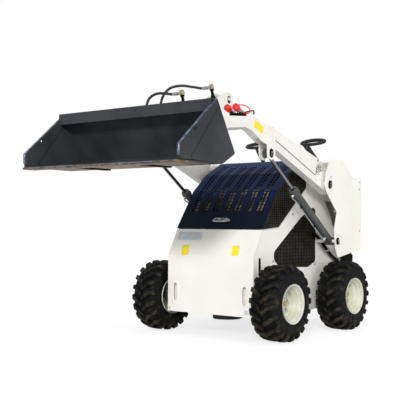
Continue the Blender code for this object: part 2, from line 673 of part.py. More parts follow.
gussets = [flat(f"platform.gusset_{side}",
                [[(gusset_front, gusset_foot), (gusset_rear, gusset_foot),
                  (gusset_rear, gusset_foot + 2 * TREAD_GAUGE), (gusset_front, gusset_foot + GUSSET_HEIGHT)]],
                GUSSET_GAUGE, across * (PLATFORM_WIDTH / 2 - GUSSET_GAUGE), chassis_body)
           for side, across in SIDES]
joined(upright, [deck, *gussets])

# Hood: a skin bent over the front and top with two cheeks, open below and behind.
# Shares run back from the hood's foot at the front and up to its rear hinge.
HOOD_ORIGIN = (HOOD_FRONT, HOOD_FOOT)
HOOD_SIZE = (HOOD_LENGTH, HOOD_HEIGHT)
HOOD_SKIN_SHARES = ((0, 0), (0.300, 0.534), (0.541, 0.783), (0.839, 0.975), (1.0, 1.0))
HOOD_REAR_SHARES = ((1.0, 0.753), (0.904, 0.753), (0.904, 0.589), (0.318, 0.026))


def moved_in(line, distance):
    """An open line moved to its right by a distance, with mitred corners."""
    shifted = []
    for index, here in enumerate(line):
        normals = []
        for start in (index - 1, index):
            if 0 <= start < len(line) - 1:
                along = (Vector(line[start + 1]) - Vector(line[start])).normalized()
                normals.append(Vector((along.y, -along.x)))
        middle = sum(normals, Vector((0, 0))).normalized()
        shifted.append(Vector(here) + middle * (distance / middle.dot(normals[0])))
    return shifted


hood_skin = [Vector(corner[:2]) for corner in
             from_shares([(*share, 0) for share in HOOD_SKIN_SHARES], HOOD_ORIGIN, HOOD_SIZE)]
hood_rear = [Vector(corner[:2]) for corner in
             from_shares([(*share, 0) for share in HOOD_REAR_SHARES], HOOD_ORIGIN, HOOD_SIZE)]
hood = flat("hood", [hood_skin + hood_rear], HOOD_WIDTH, 0, hood_body, navy)
hood_inside = moved_in(hood_skin, HOOD_SHEET)
hollow = [hood_inside[0] + (hood_inside[0] - hood_inside[1]).normalized() * OVERRUN, *hood_inside,
          hood_inside[-1] + Vector((OVERRUN, 0)), Vector((hood_inside[-1].x + OVERRUN, HOOD_FOOT - OVERRUN))]
cut(hood, [flat("hood.inside", [hollow], HOOD_WIDTH - 2 * HOOD_SHEET, 0, hood_body)])
for side, across in SIDES:
    knuckle_start, knuckle_end = (lift(HOOD_HINGE, across * (HINGE_SPREAD + shift * HINGE_LENGTH) / 2)
                                  for shift in (-1, 1))
    joined(hood, [bar(f"hood.knuckle_{side}", HINGE_RADIUS, knuckle_start, knuckle_end, hood_body,
                      segments=16)])
cut(hood, [bar("hood.hinge_hole", HINGE_PIN_RADIUS + RUNNING, lift(HOOD_HINGE, -hinge_end),
               lift(HOOD_HINGE, hinge_end), hood_body, segments=12)])

# Seven pairs of slotted rows up the hood. Each row of the table is a flat of the skin by its number, the
# shares of its length between which slots lie, and their count.
SLOT_PAIRS = 7
SLOT_PAIR_PITCH = 0.0945
SLOT_ROW_PITCH = 0.030
SLOT_WIDTH = 0.0125
SLOT_BRIDGE = 0.012
SLOT_SPAN_SHARES = ((0, 0.50, 0.97, 1), (1, 0.03, 0.97, 1), (2, 0.03, 0.80, 1))
slot_cells = bmesh.new()
for flat_number, first_share, last_share, count in SLOT_SPAN_SHARES:
    flat_start, flat_end = hood_skin[flat_number], hood_skin[flat_number + 1]
    flat_along = (flat_end - flat_start).normalized()
    flat_turn = Matrix.Rotation(math.atan2(flat_along.y, flat_along.x), 4, "X")
    pitch = (flat_end - flat_start).length * (last_share - first_share) / count
    size = Matrix.Diagonal((SLOT_WIDTH, pitch - SLOT_BRIDGE, 4 * HOOD_SHEET, 1))
    for step in range(count):
        middle = flat_start.lerp(flat_end, first_share) + flat_along * pitch * (step + 1 / 2)
        for row in range(2 * SLOT_PAIRS):
            pair, second = divmod(row, 2)
            x = (pair - (SLOT_PAIRS - 1) / 2) * SLOT_PAIR_PITCH + (second - 1 / 2) * SLOT_ROW_PITCH
            place = lift(middle, x) - Vector(hood_body["place"])
            bmesh.ops.create_cube(slot_cells, size=1, matrix=Matrix.Translation(place) @ flat_turn @ size)
slot_mesh = bpy.data.meshes.new("hood.slots")
slot_cells.to_mesh(slot_mesh)
slot_cells.free()
cut(hood, [add("hood.slots", slot_mesh, hood_body, hood_body["place"])])

LAMP_WIDTH = 0.143
LAMP_HEIGHT = 0.040
LAMP_DEPTH = 0.018
LAMP_SHARE = 0.20
lamp_foot = hood_skin[0].lerp(hood_skin[1], LAMP_SHARE)
face_along = (hood_skin[1] - hood_skin[0]).normalized()
face_out = Vector((-face_along.y, face_along.x))
lamp_loop = [lamp_foot + face_along * LAMP_HEIGHT / 2 * up + face_out * out
             for up, out in ((-1, SEAT), (-1, LAMP_DEPTH), (1, LAMP_DEPTH), (1, SEAT))]
flat("hood_lamp", [lamp_loop], LAMP_WIDTH, 0, hood_body, glass)

# Loader arms: a box beam each, with two gusset plates round the cylinder's eye.
# Shares run forward from the lift pivot to the bucket's pins and up from the lift pivot.
ARM_HEIGHT = 0.398
ARM_SIZE = (TILT_PIVOT[0] - LIFT_PIVOT[0], ARM_HEIGHT)
GROOVE_SHARES = ((0.112, 0.157), (0.5125, 0.678))
ARM_REAR_SHARES = ((0.009, -0.116, 0), (-0.039, -0.196, 0.08), (-0.071, -0.033, 0.15), (-0.046, 0.193, 0.12),
                   (0.031, 0.244, 0.08))
ARM_TOP_SHARES = ((0.5125, 0.832, 0), (0.699, 1.0, 0.4), (0.887, 0.947, 0.1), (0.946, 0.922, 0.05),
                  (1.017, 0.693, 0.05), (0.983, 0.568, 0.03))
ARM_FRONT_SHARES = ((0.931, 0.709, 0.1), (0.898, 0.761, 0.1), (0.740, 0.817, 0.3), (0.624, 0.618, 0),
                    (0.497, 0.513, 0))
ARM_NOSE_RADIUS = 0.034
GUSSET_SHARES = ((0.545, 0.870, 0), (0.590, 0.908, 0))
EAR_RADIUS = 0.045
EAR_ROUND_SHARE = 0.98
POCKET_HEIGHT = 0.104
POCKET_AHEAD = 0.135
POCKET_BEHIND = 0.040
arm_outline = rounded(from_shares(
    (*ARM_REAR_SHARES, *((*share, 0) for share in GROOVE_SHARES), *ARM_TOP_SHARES, *ARM_FRONT_SHARES),
    LIFT_PIVOT, ARM_SIZE))
gusset_top = from_shares(GUSSET_SHARES, LIFT_PIVOT, ARM_SIZE)
eye_y, eye_z = LIFT_EYE
ear_curve = EAR_RADIUS * EAR_ROUND_SHARE
gusset_outline = rounded([
    (eye_y + EAR_RADIUS, eye_z - EAR_RADIUS, ear_curve), (eye_y + EAR_RADIUS, gusset_top[0][1], 0),
    (eye_y - EAR_RADIUS, gusset_top[1][1], 0), (eye_y - EAR_RADIUS, eye_z - EAR_RADIUS, ear_curve)])
for side, across in SIDES:
    arm = flat(f"arm_{side}", [arm_outline], ARM_WIDTH, across * ARM_MIDDLE, arm_body, white)
    nose = bar(f"arm_{side}.nose", ARM_NOSE_RADIUS, lift(TILT_PIVOT, across * ARM_INNER),
               lift(TILT_PIVOT, across * ARM_OUTER), arm_body)
    gussets = [flat(f"arm_{side}.gusset_{name}", [gusset_outline], ARM_WALL,
                    across * (ARM_MIDDLE + face * (ARM_WIDTH + ARM_WALL / 2) / 2), arm_body)
               for name, face in (("outer", 1), ("inner", -1))]
    joined(arm, [nose, *gussets])
    pocket_low, pocket_high = (across * ARM_MIDDLE + face * (ARM_WIDTH / 2 - ARM_WALL) for face in (-1, 1))
    pocket = box(f"arm_{side}.pocket", (pocket_low, eye_y - POCKET_AHEAD, eye_z - POCKET_HEIGHT),
                 (pocket_high, eye_y + POCKET_BEHIND, eye_z + POCKET_HEIGHT), arm_body)
    pins = [bar(f"arm_{side}.{name}", radius + RUNNING, lift(pin, across * (ARM_INNER - OVERRUN)),
                lift(pin, across * (ARM_OUTER + OVERRUN)), arm_body)
            for name, radius, pin in (("pivot_hole", PIVOT_PIN_RADIUS, LIFT_PIVOT),
                                      ("bucket_hole", BUCKET_PIN_RADIUS, TILT_PIVOT))]
    cut(arm, [pocket, *pins])

# Hose covers: an upturned channel on each arm, open behind and below
COVER_TOP_SHARES = ((0.086, 0.460), (0.510, 0.852))
COVER_WALL = 0.004
groove = [Vector(corner[:2]) for corner in
          from_shares([(*share, 0) for share in GROOVE_SHARES], LIFT_PIVOT, ARM_SIZE)]
cover_foot = [groove[0], groove[1] + (groove[0] - groove[1]).normalized() * COVER_WALL]
cover_top = [Vector(corner[:2]) for corner in
             from_shares([(*share, 0) for share in COVER_TOP_SHARES], LIFT_PIVOT, ARM_SIZE)]
clear = Vector((0, 2 * SEAT))
cover_outline = [cover_foot[0] + clear, cover_top[0], Vector((cover_foot[1].x, cover_top[1].y)),
                 cover_foot[1] + clear]
cover_hollow = [cover_foot[0] + Vector((OVERRUN, -OVERRUN)), cover_top[0] + Vector((OVERRUN, -COVER_WALL)),
                Vector((cover_foot[1].x + COVER_WALL, cover_top[1].y - COVER_WALL)),
                cover_foot[1] + Vector((COVER_WALL, -OVERRUN))]
for side, across in SIDES:
    cover = flat(f"hose_cover_{side}", [cover_outline], ARM_WIDTH, across * ARM_MIDDLE, arm_body, white)
    cut(cover, [flat(f"hose_cover_{side}.inside", [cover_hollow], ARM_WIDTH - 2 * COVER_WALL,
                     across * ARM_MIDDLE, arm_body)])

# Crossmember between the arms, with the two ears that hold the tilt cylinder
CROSS_OFFSET = (0.221, 0.074)
CROSS_LENGTH = 0.200
CROSS_HEIGHT = 0.050
EAR_SPREAD = 0.100
EAR_GAUGE = 0.012
EAR_SHARES = ((0.038, 0.083, 0), (0.382, 0.083, 0), (1.086, 0.880, 0.15), (1.096, 1.144, 0.13),
              (0.975, 1.189, 0.12), (0.574, 0.830, 0.3), (0.038, 0.273, 0))
CROSS_FRONT, CROSS_BASE = moved(TILT_PIVOT, CROSS_OFFSET)
CROSS_REAR = CROSS_FRONT + CROSS_LENGTH
cross_top = CROSS_BASE + CROSS_HEIGHT
crossmember = box("crossmember", (-(ARM_INNER - SEAT), CROSS_FRONT, CROSS_BASE),
                  (ARM_INNER - SEAT, CROSS_REAR, cross_top), arm_body, white)
ear_size = (TILT_BASE[0] - CROSS_FRONT, TILT_BASE[1] - CROSS_BASE)
ear_outline = rounded(from_shares(EAR_SHARES, (CROSS_FRONT, CROSS_BASE), ear_size))
ears = [flat(f"crossmember.ear_{side}", [ear_outline], EAR_GAUGE, across * EAR_SPREAD / 2, arm_body)
        for side, across in SIDES]
ear_pin_end = EAR_SPREAD / 2 + EAR_GAUGE
ear_pin = bar("crossmember.pin", CYLINDER_PIN_RADIUS, lift(TILT_BASE, -ear_pin_end),
              lift(TILT_BASE, ear_pin_end), arm_body)

# Routes of the two tilt hoses, by points chosen by hand: from the elbows on the cylinder's ports over and
# down to the fittings on the crossmember
HOSE_ROUTES = {
    "front": ((-0.0353, -0.8481, 1.6417), (-0.0550, -0.8481, 1.6417), (-0.0850, -0.8481, 1.6417),
              (-0.1650, -0.8460, 1.6560), (-0.2400, -0.8420, 1.6570), (-0.3030, -0.8360, 1.6300),
              (-0.3330, -0.8290, 1.5700), (-0.3300, -0.8250, 1.5150), (-0.3300, -0.8250, 1.4900),
              (-0.3300, -0.8250, 1.4683)),
    "rear": ((-0.0353, -0.5251, 1.7229), (-0.0550, -0.5251, 1.7229), (-0.0800, -0.5251, 1.7229),
             (-0.1350, -0.5600, 1.7330), (-0.1800, -0.6400, 1.7360), (-0.2050, -0.7300, 1.7080),
             (-0.2140, -0.7920, 1.6450), (-0.2160, -0.8200, 1.5650), (-0.2160, -0.8250, 1.5150),
             (-0.2160, -0.8250, 1.4900), (-0.2160, -0.8250, 1.4683)),
}
HOSE_RADIUS = 0.0095
HOSE_STEPS = 2
FITTING_RADIUS = 0.012
FITTING_HEIGHT = 0.030
fittings = [bar(f"crossmember.fitting_{name}", FITTING_RADIUS, (*route[-1][:2], cross_top - CROSS_HEIGHT / 2),
                (*route[-1][:2], cross_top + FITTING_HEIGHT), arm_body, segments=12)
            for name, route in HOSE_ROUTES.items()]
joined(crossmember, [*ears, ear_pin, *fittings])
for name, route in HOSE_ROUTES.items():
    tube(f"tilt_hose_{name}", HOSE_RADIUS, smooth_route(route, HOSE_STEPS), arm_body, hose_rubber)

# Quick couplers for other tools, on a bracket near the left arm
COUPLER_X = 0.385
COUPLER_SETBACK = 0.165
COUPLER_BRACKET = (0.114, 0.070, 0.050)
COUPLER_LENGTH = 0.075
COUPLER_PITCH = 0.066
COUPLER_BODY_RADIUS = 0.017
COUPLER_CAP_RADIUS = 0.022
COUPLER_CAP_SHARE = 0.60
COUPLER_PLACE = (COUPLER_X, CROSS_FRONT + COUPLER_SETBACK)
bracket_foot = cross_top + SEAT
bracket_half = Vector(COUPLER_BRACKET) / 2
bracket_middle = Vector((*COUPLER_PLACE, bracket_foot + bracket_half.z))
couplers = box("couplers", bracket_middle - bracket_half, bracket_middle + bracket_half, arm_body, red)
coupler_height = bracket_foot + COUPLER_BRACKET[2]
coupler_parts = []
for index, shift in enumerate((-1, 1)):
    coupler_start = Vector((COUPLER_X + shift * COUPLER_PITCH / 2, COUPLER_PLACE[1], coupler_height))
    coupler_end = coupler_start + Vector((0, -COUPLER_LENGTH, COUPLER_LENGTH / 2))
    coupler_parts += [
        bar(f"couplers.body_{index}", COUPLER_BODY_RADIUS, coupler_start, coupler_end, arm_body, segments=12),
        bar(f"couplers.cap_{index}", COUPLER_CAP_RADIUS, coupler_start.lerp(coupler_end, COUPLER_CAP_SHARE),
            coupler_end, arm_body, segments=12)]
joined(couplers, coupler_parts)


# Cylinders: a bored barrel with an eye on its base pin, and a rod with an eye at its far end
def cylinder(name, base, eye, middle, body, rod_frame, barrel_radius, barrel_length, rod_radius, rod_start,
             eye_radius, eye_width, base_width):
    """One hydraulic cylinder in the plane x = middle: its barrel and its rod."""
    along = (Vector(eye) - Vector(base)).normalized()
    reach = (Vector(eye) - Vector(base)).length

    def at(distance):
        return lift(Vector(base) + along * distance, middle)

    def eyelet(part, centre, width, frame):
        return bar(part, eye_radius, lift(centre, middle - width / 2), lift(centre, middle + width / 2), frame)

    barrel = bar(f"{name}_barrel", barrel_radius, at(eye_radius / 2), at(barrel_length), body, charcoal)
    joined(barrel, [eyelet(f"{name}_barrel.eye", base, base_width, body)])
    cut(barrel, [
        bar(f"{name}_barrel.bore", rod_radius + RUNNING, at(BORE_FLOOR), at(barrel_length + OVERRUN), body),
        bar(f"{name}_barrel.pin_hole", CYLINDER_PIN_RADIUS + RUNNING, lift(base, middle - base_width),
            lift(base, middle + base_width), body)])
    rod = bar(f"{name}_rod", rod_radius, at(rod_start), at(reach), rod_frame, steel)
    joined(rod, [eyelet(f"{name}_rod.eye", eye, eye_width, rod_frame)])
    return barrel


for side, across in SIDES:
    middle = across * ARM_MIDDLE
    barrel_frame = empty(f"lift_barrel_{side}_body", lift(LIFT_BASE, middle), machine)
    rod_frame = empty(f"lift_rod_{side}_body", lift(LIFT_EYE, middle), barrel_frame)
    cylinder(f"lift_{side}", LIFT_BASE, LIFT_EYE, middle, barrel_frame, rod_frame,
             LIFT_BARREL_RADIUS, LIFT_BARREL_LENGTH, LIFT_ROD_RADIUS, LIFT_ROD_HELD,
             LIFT_EYE_RADIUS, LIFT_EYE_WIDTH, 2 * LIFT_BARREL_RADIUS)
tilt_barrel_frame = empty("tilt_barrel_body", lift(TILT_BASE, 0), arm_body)
tilt_rod_frame = empty("tilt_rod_body", lift(TILT_EYE, 0), tilt_barrel_frame)
tilt_barrel = cylinder("tilt", TILT_BASE, TILT_EYE, 0, tilt_barrel_frame, tilt_rod_frame,
                       TILT_BARREL_RADIUS, TILT_BARREL_LENGTH, TILT_ROD_RADIUS, TILT_ROD_HELD,
                       TILT_EYE_RADIUS, TILT_EYE_WIDTH, EAR_SPREAD - 2 * EAR_GAUGE)

# Tilt cylinder's ports, each with an elbow that its hose leaves sideways
PORT_DISTANCES = (0.107, 0.440)
PORT_HEIGHT = 0.070
PORT_RADIUS = 0.011
ELBOW_RADIUS = 0.0125
ELBOW_REACH = 0.035
tilt_along = (Vector(TILT_EYE) - Vector(TILT_BASE)).normalized()
tilt_up = Vector((tilt_along.y, -tilt_along.x))
tilt_fittings = []
for index, distance in enumerate(PORT_DISTANCES):
    root = Vector(TILT_BASE) + tilt_along * distance
    top = root + tilt_up * (TILT_BARREL_RADIUS + PORT_HEIGHT)
    tilt_fittings += [
        bar(f"tilt_barrel.port_{index}", PORT_RADIUS, lift(top - tilt_up * (PORT_HEIGHT + PORT_RADIUS), 0),
            lift(top, 0), tilt_barrel_frame, segments=12),
        bar(f"tilt_barrel.elbow_{index}", ELBOW_RADIUS, lift(top, ELBOW_RADIUS), lift(top, -ELBOW_REACH),
            tilt_barrel_frame, segments=12)]
joined(tilt_barrel, tilt_fittings)

# Quick-attach frame: ears on the arms' pins and the rod's eye, welded to the plate behind the bucket
BUCKET_ORIGIN = (BUCKET_FRONT, BUCKET_BASE)
BUCKET_SIZE = (BUCKET_DEPTH, BUCKET_HEIGHT)
BACK_SHARES = ((1.0, 0.181), (0.697, 0.907))
back_low, back_high = (Vector(corner[:2]) for corner in
                       from_shares([(*share, 0) for share in BACK_SHARES], BUCKET_ORIGIN, BUCKET_SIZE))
back_up = (back_high - back_low).normalized()
back_out = Vector((back_up.y, -back_up.x))
ATTACH_WIDTH = 1.100
ATTACH_PLATE = 0.008
ATTACH_SHARES = (0.10, 0.95)
ATTACH_EAR_GAUGE = 0.012
ATTACH_EAR_CLEARANCE = 0.008
TILT_EAR_SPREAD = 0.070


def on_back(up, out):
    """A point at a height along the bucket's back and a distance behind it."""
    return back_low + back_up * up + back_out * out


back_height = (back_high - back_low).length
attach_low, attach_high = (share * back_height for share in ATTACH_SHARES)
attach = flat("quick_attach", [[on_back(attach_low, SEAT), on_back(attach_high, SEAT),
                                on_back(attach_high, ATTACH_PLATE), on_back(attach_low, ATTACH_PLATE)]],
              ATTACH_WIDTH, 0, bucket_body, charcoal)


def attach_ear(name, pin, radius, spread, middle):
    """An ear that stands on the attach plate and rounds off about a pin."""
    offset = Vector(pin) - back_low
    up, out = offset.dot(back_up), offset.dot(back_out)
    curve = radius * EAR_ROUND_SHARE
    outline = rounded([
        (*on_back(up - spread, ATTACH_PLATE / 2), 0), (*on_back(up - radius, out + radius), curve),
        (*on_back(up + radius, out + radius), curve), (*on_back(up + spread, ATTACH_PLATE / 2), 0)])
    return flat(name, [outline], ATTACH_EAR_GAUGE, middle, bucket_body)


pin_radius = BUCKET_PIN_RADIUS
ear_offset = ARM_WIDTH / 2 + ATTACH_EAR_CLEARANCE + ATTACH_EAR_GAUGE / 2
pieces = []
for side, across in SIDES:
    for name, face in (("outer", 1), ("inner", -1)):
        pieces.append(attach_ear(f"quick_attach.ear_{side}_{name}", TILT_PIVOT, 2 * pin_radius,
                                 4 * pin_radius, across * (ARM_MIDDLE + face * ear_offset)))
    pin_end = ear_offset + ATTACH_EAR_GAUGE
    pieces.append(bar(f"quick_attach.pin_{side}", pin_radius, lift(TILT_PIVOT, across * ARM_MIDDLE - pin_end),
                      lift(TILT_PIVOT, across * ARM_MIDDLE + pin_end), bucket_body))
    pieces.append(attach_ear(f"quick_attach.tilt_ear_{side}", TILT_EYE, TILT_EYE_RADIUS, 2 * TILT_EYE_RADIUS,
                             across * TILT_EAR_SPREAD / 2))
joined(attach, pieces)

# Bucket: a sheet bent from the cutting edge over the heel and back to the folded lip, and its sides.
# Shares run back from the bucket's front and up from its underside.
SHELL_SHARES = ((0.0, 0.0), (0.762, 0.0), (1.0, 0.181), (0.697, 0.907), (0.651, 1.0))
SIDE_SHARES = ((0.015, 0.040, 0.02), (0.0, 0.234, 0.02), (0.651, 1.0, 0.03), (0.697, 0.907, 0),
               (1.0, 0.181, 0.03), (0.762, 0.0, 0.03))
LIP_DEPTH = 0.050
LIP_FACE = 0.070
CUTTING_EDGE_LENGTH = 0.090
CUTTING_EDGE_GAUGE = 0.012
shell_line = [Vector(corner[:2]) for corner in
              from_shares([(*share, 0) for share in SHELL_SHARES], BUCKET_ORIGIN, BUCKET_SIZE)]
shell_inside = moved_in(shell_line, -BUCKET_SHEET)
shell_width = BUCKET_WIDTH - 2 * BUCKET_SIDE
bucket = flat("bucket", [[*shell_line, *reversed(shell_inside)]], shell_width + BUCKET_SIDE, 0,
              bucket_body, charcoal)
lip_top = shell_line[-1]
lip_loop = [lip_top, lip_top + Vector((-LIP_DEPTH, -LIP_DEPTH / 8)),
            lip_top + Vector((-LIP_DEPTH, -LIP_DEPTH / 8 - LIP_FACE)),
            lip_top + Vector((BUCKET_SHEET - LIP_DEPTH, -LIP_DEPTH / 8 - LIP_FACE)),
            lip_top + Vector((BUCKET_SHEET - LIP_DEPTH, -LIP_DEPTH / 4)),
            lip_top + Vector((0, -2 * BUCKET_SHEET))]
joined(bucket, [flat("bucket.lip", [lip_loop], shell_width + BUCKET_SIDE, 0, bucket_body)])
side_outline = rounded(from_shares(SIDE_SHARES, BUCKET_ORIGIN, BUCKET_SIZE))
joined(bucket, [flat(f"bucket.side_{side}", [side_outline], BUCKET_SIDE,
                     across * (BUCKET_WIDTH - BUCKET_SIDE) / 2, bucket_body)
                for side, across in SIDES])
HOOK_HOLE_RADIUS = 0.011
HOOK_HOLE_SHARES = (0.269, 0.481)
hook_hole = from_shares([(*HOOK_HOLE_SHARES, 0)], BUCKET_ORIGIN, BUCKET_SIZE)[0]
cut(bucket, [bar("bucket.hook_holes", HOOK_HOLE_RADIUS, lift(hook_hole, -BUCKET_WIDTH / 2 - OVERRUN),
                 lift(hook_hole, BUCKET_WIDTH / 2 + OVERRUN), bucket_body, segments=12)])
edge_top = shell_line[0].y - SEAT
edge_rear = shell_line[0].x + CUTTING_EDGE_LENGTH
edge_front = BUCKET_FRONT - CUTTING_EDGE_REACH
edge_base = edge_top - CUTTING_EDGE_GAUGE
flat("cutting_edge", [[(edge_front, edge_top), (edge_rear, edge_top), (edge_rear, edge_base),
                       (edge_front + CUTTING_EDGE_GAUGE, edge_base)]], BUCKET_WIDTH, 0, bucket_body, charcoal)
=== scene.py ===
import math

import bpy
import numpy as np
from mathutils import Matrix, Vector


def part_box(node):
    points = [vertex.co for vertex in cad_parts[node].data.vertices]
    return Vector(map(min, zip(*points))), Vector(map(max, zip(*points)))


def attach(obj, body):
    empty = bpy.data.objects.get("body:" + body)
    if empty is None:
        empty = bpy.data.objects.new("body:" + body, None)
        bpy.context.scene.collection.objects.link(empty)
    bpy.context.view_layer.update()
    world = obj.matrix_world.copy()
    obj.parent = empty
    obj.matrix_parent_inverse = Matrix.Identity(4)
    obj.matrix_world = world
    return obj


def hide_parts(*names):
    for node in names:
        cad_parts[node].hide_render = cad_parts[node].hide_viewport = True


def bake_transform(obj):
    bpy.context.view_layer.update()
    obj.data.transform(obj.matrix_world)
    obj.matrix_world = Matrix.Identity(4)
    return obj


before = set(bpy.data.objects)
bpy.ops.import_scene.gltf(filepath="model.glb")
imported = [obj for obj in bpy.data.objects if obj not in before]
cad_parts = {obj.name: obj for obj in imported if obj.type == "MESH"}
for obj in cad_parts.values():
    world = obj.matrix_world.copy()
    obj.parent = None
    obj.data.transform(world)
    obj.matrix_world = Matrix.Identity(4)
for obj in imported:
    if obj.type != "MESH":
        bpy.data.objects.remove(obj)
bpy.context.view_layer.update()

# Studio. A pale floor that fades into a pale room, a broad soft key from the upper left of the view
# and an even sky, seen through a 75 mm lens at the height of a squatting person's eyes.
AZIMUTH, PITCH, ROLL = (math.radians(angle) for angle in (38.051, 1.55, 0.379))
ahead = Vector((-math.sin(AZIMUTH) * math.cos(PITCH), math.cos(AZIMUTH) * math.cos(PITCH), math.sin(PITCH)))
level = Vector((math.cos(AZIMUTH), math.sin(AZIMUTH), 0.0))
upright = level.cross(ahead)
across = level * math.cos(ROLL) + upright * math.sin(ROLL)
upward = upright * math.cos(ROLL) - level * math.sin(ROLL)
lens = bpy.data.cameras.new("camera")
lens.lens = 75.22
lens.sensor_width = 36.0
lens.clip_end = 60.0
EYE = (3.503, -4.7725, 0.784)
camera = bpy.data.objects.new("camera", lens)
camera.matrix_world = Matrix.Translation(EYE) @ Matrix((across, upward, -ahead)).transposed().to_4x4()
bpy.context.scene.collection.objects.link(camera)
bpy.context.scene.camera = camera
bpy.context.scene.view_settings.view_transform = "Standard"


class Shade:
    """One socket of a material's nodes: arithmetic on it adds Math nodes, and node() adds any other."""

    def __init__(self, tree, socket):
        self.tree, self.socket = tree, socket

    def node(self, kind, settings=None, sockets=None, output=0):
        """A new node. Its settings are set first, then its sockets take values or links."""
        made = self.tree.nodes.new("ShaderNode" + kind)
        for name, value in (settings or {}).items():
            setattr(made, name, value)
        for name, value in (sockets or {}).items():
            if isinstance(value, Shade):
                self.tree.links.new(value.socket, made.inputs[name])
            else:
                made.inputs[name].default_value = value
        return Shade(self.tree, made.outputs[output])

    def math(self, operation, *values):
        """A Math node on these values, some of which may be sockets."""
        return self.node("Math", {"operation": operation}, dict(enumerate(values)))

    def __add__(self, other):
        return self.math("ADD", self, other)

    def __sub__(self, other):
        return self.math("SUBTRACT", self, other)

    def __rsub__(self, other):
        return self.math("SUBTRACT", other, self)

    def __mul__(self, other):
        return self.math("MULTIPLY", self, other)

    __radd__ = __add__
    __rmul__ = __mul__

    def axis(self, letter):
        """One axis of a vector."""
        return self.node("SeparateXYZ", {}, {"Vector": self}, letter)

    def ramp(self, low, high):
        """0 below the low value and 1 above the high one, with a soft step between."""
        return self.node("MapRange", {"interpolation_type": "SMOOTHSTEP"},
            {"Value": self, "From Min": low, "From Max": high}, "Result")

    def mixed(self, first, second):
        """The first colour where this is 0 and the second where it is 1."""
        ends = [(*end, 1.0) if isinstance(end, tuple) else end for end in (first, second)]
        return self.node("Mix", {"data_type": "RGBA"}, {0: self, 6: ends[0], 7: ends[1]}, 2)


def finish(name, colour, roughness, metallic=0.0, **constants):
    """A Principled material with constant values on its own sockets; gives it and its Object coordinates."""
    made = bpy.data.materials.new(name)
    made.use_nodes = True
    made.diffuse_color = (*colour, 1.0)
    shader = made.node_tree.nodes["Principled BSDF"]
    for socket, value in {"Base Color": (*colour, 1.0), "Roughness": roughness, "Metallic": metallic,
            **constants}.items():
        shader.inputs[socket].default_value = value
    place = Shade(made.node_tree, None).node("TexCoord", output="Object")
    return made, place


def feed(made, **sockets):
    """Link what varies over a surface to its Principled shader."""
    shader = made.node_tree.nodes["Principled BSDF"]
    for name, value in sockets.items():
        made.node_tree.links.new(value.socket, shader.inputs[name.replace("_", " ")])
    return made


def noise(place, scale, detail=3.0):
    """Fractal noise between about 0.3 and 0.7 in the object's own coordinates, in features per metre."""
    return place.node("TexNoise", {}, {"Vector": place, "Scale": scale, "Detail": detail}, "Fac")


def bump(height, strength, distance, **under):
    """A Bump node's normal from a height, laid over another Normal if one is given."""
    return height.node("Bump", {}, {"Height": height, "Strength": strength, "Distance": distance, **under})


floor_paint, floor_place = finish("studio_floor", (0.93, 0.93, 0.93), 0.9)
tree = floor_paint.node_tree
matt_floor = Shade(tree, tree.nodes["Principled BSDF"].outputs[0])
# The camera sees the floor mixed with a glow as pale as the room, and light falls on the plain floor
GLOW_SHARE, GLOW, ROOM_LIGHT, ROOM_SHOWN = 0.62, 1.22, 0.52, 0.48
glow = floor_place.node("Emission", {}, {"Color": (1.0, 1.0, 1.0, 1.0), "Strength": GLOW})
fade = floor_place.node("MixShader", {}, {0: GLOW_SHARE, 1: matt_floor, 2: glow})
rays = floor_place.node("LightPath", output="Is Camera Ray")
shown = floor_place.node("MixShader", {}, {0: rays, 1: matt_floor, 2: fade})
tree.links.new(shown.socket, tree.nodes["Material Output"].inputs["Surface"])
bpy.ops.mesh.primitive_plane_add(size=80.0)
floor = bpy.context.object
floor.name = "studio_floor"
floor.data.materials.append(floor_paint)

world = bpy.data.worlds.new("room")
bpy.context.scene.world = world
world.use_nodes = True
sky = Shade(world.node_tree, None)
strength = sky.node("LightPath", output="Is Camera Ray") * ROOM_SHOWN + ROOM_LIGHT
world.node_tree.links.new(strength.socket, world.node_tree.nodes["Background"].inputs["Strength"])
world.node_tree.nodes["Background"].inputs["Color"].default_value = (1.0, 1.0, 1.0, 1.0)

# (name, strength, angle, direction from which it shines)
for name, power, angle, source in (("key", 2.1, 9.0, (1.5, -2.5, 1.15)), ("fill", 0.55, 60.0, (3.0, 0.3, 1.2))):
    lamp = bpy.data.lights.new(name, "SUN")
    lamp.energy = power
    lamp.angle = math.radians(angle)
    shining = bpy.data.objects.new(name, lamp)
    shining.rotation_euler = Vector(source).to_track_quat("Z", "Y").to_euler()
    bpy.context.scene.collection.objects.link(shining)


# Body, towers and arms. Laser-cut and bent steel plate, welded and powder coated in a warm gloss white,
# which pools a little at the edges and shows a faint orange peel.
def coat(name, colour, roughness, clouds=None, ends=None, matt=None, grain=None, spread=(0.3, 0.7), detail=3.0,
        edge=None, metallic=0.0, **constants):
    """A finish that varies by noise. Its colour drifts between two ends in clouds of a scale and detail, ramped
    over spread; matt is (scale, gain, least) of its roughness, and grain (scale, detail, strength, distance) of
    its bump, over corners that look rounded by the radius edge."""
    paint, place = finish(name, colour, roughness, metallic, **constants)
    if clouds:
        feed(paint, Base_Color=noise(place, clouds, detail).ramp(*spread).mixed(*ends))
    if matt:
        feed(paint, Roughness=noise(place, matt[0]) * matt[1] + matt[2])
    if grain:
        under = {"Normal": place.node("Bevel", {"samples": 6}, {"Radius": edge})} if edge else {}
        feed(paint, Normal=bump(noise(place, *grain[:2]), *grain[2:], **under))
    return paint


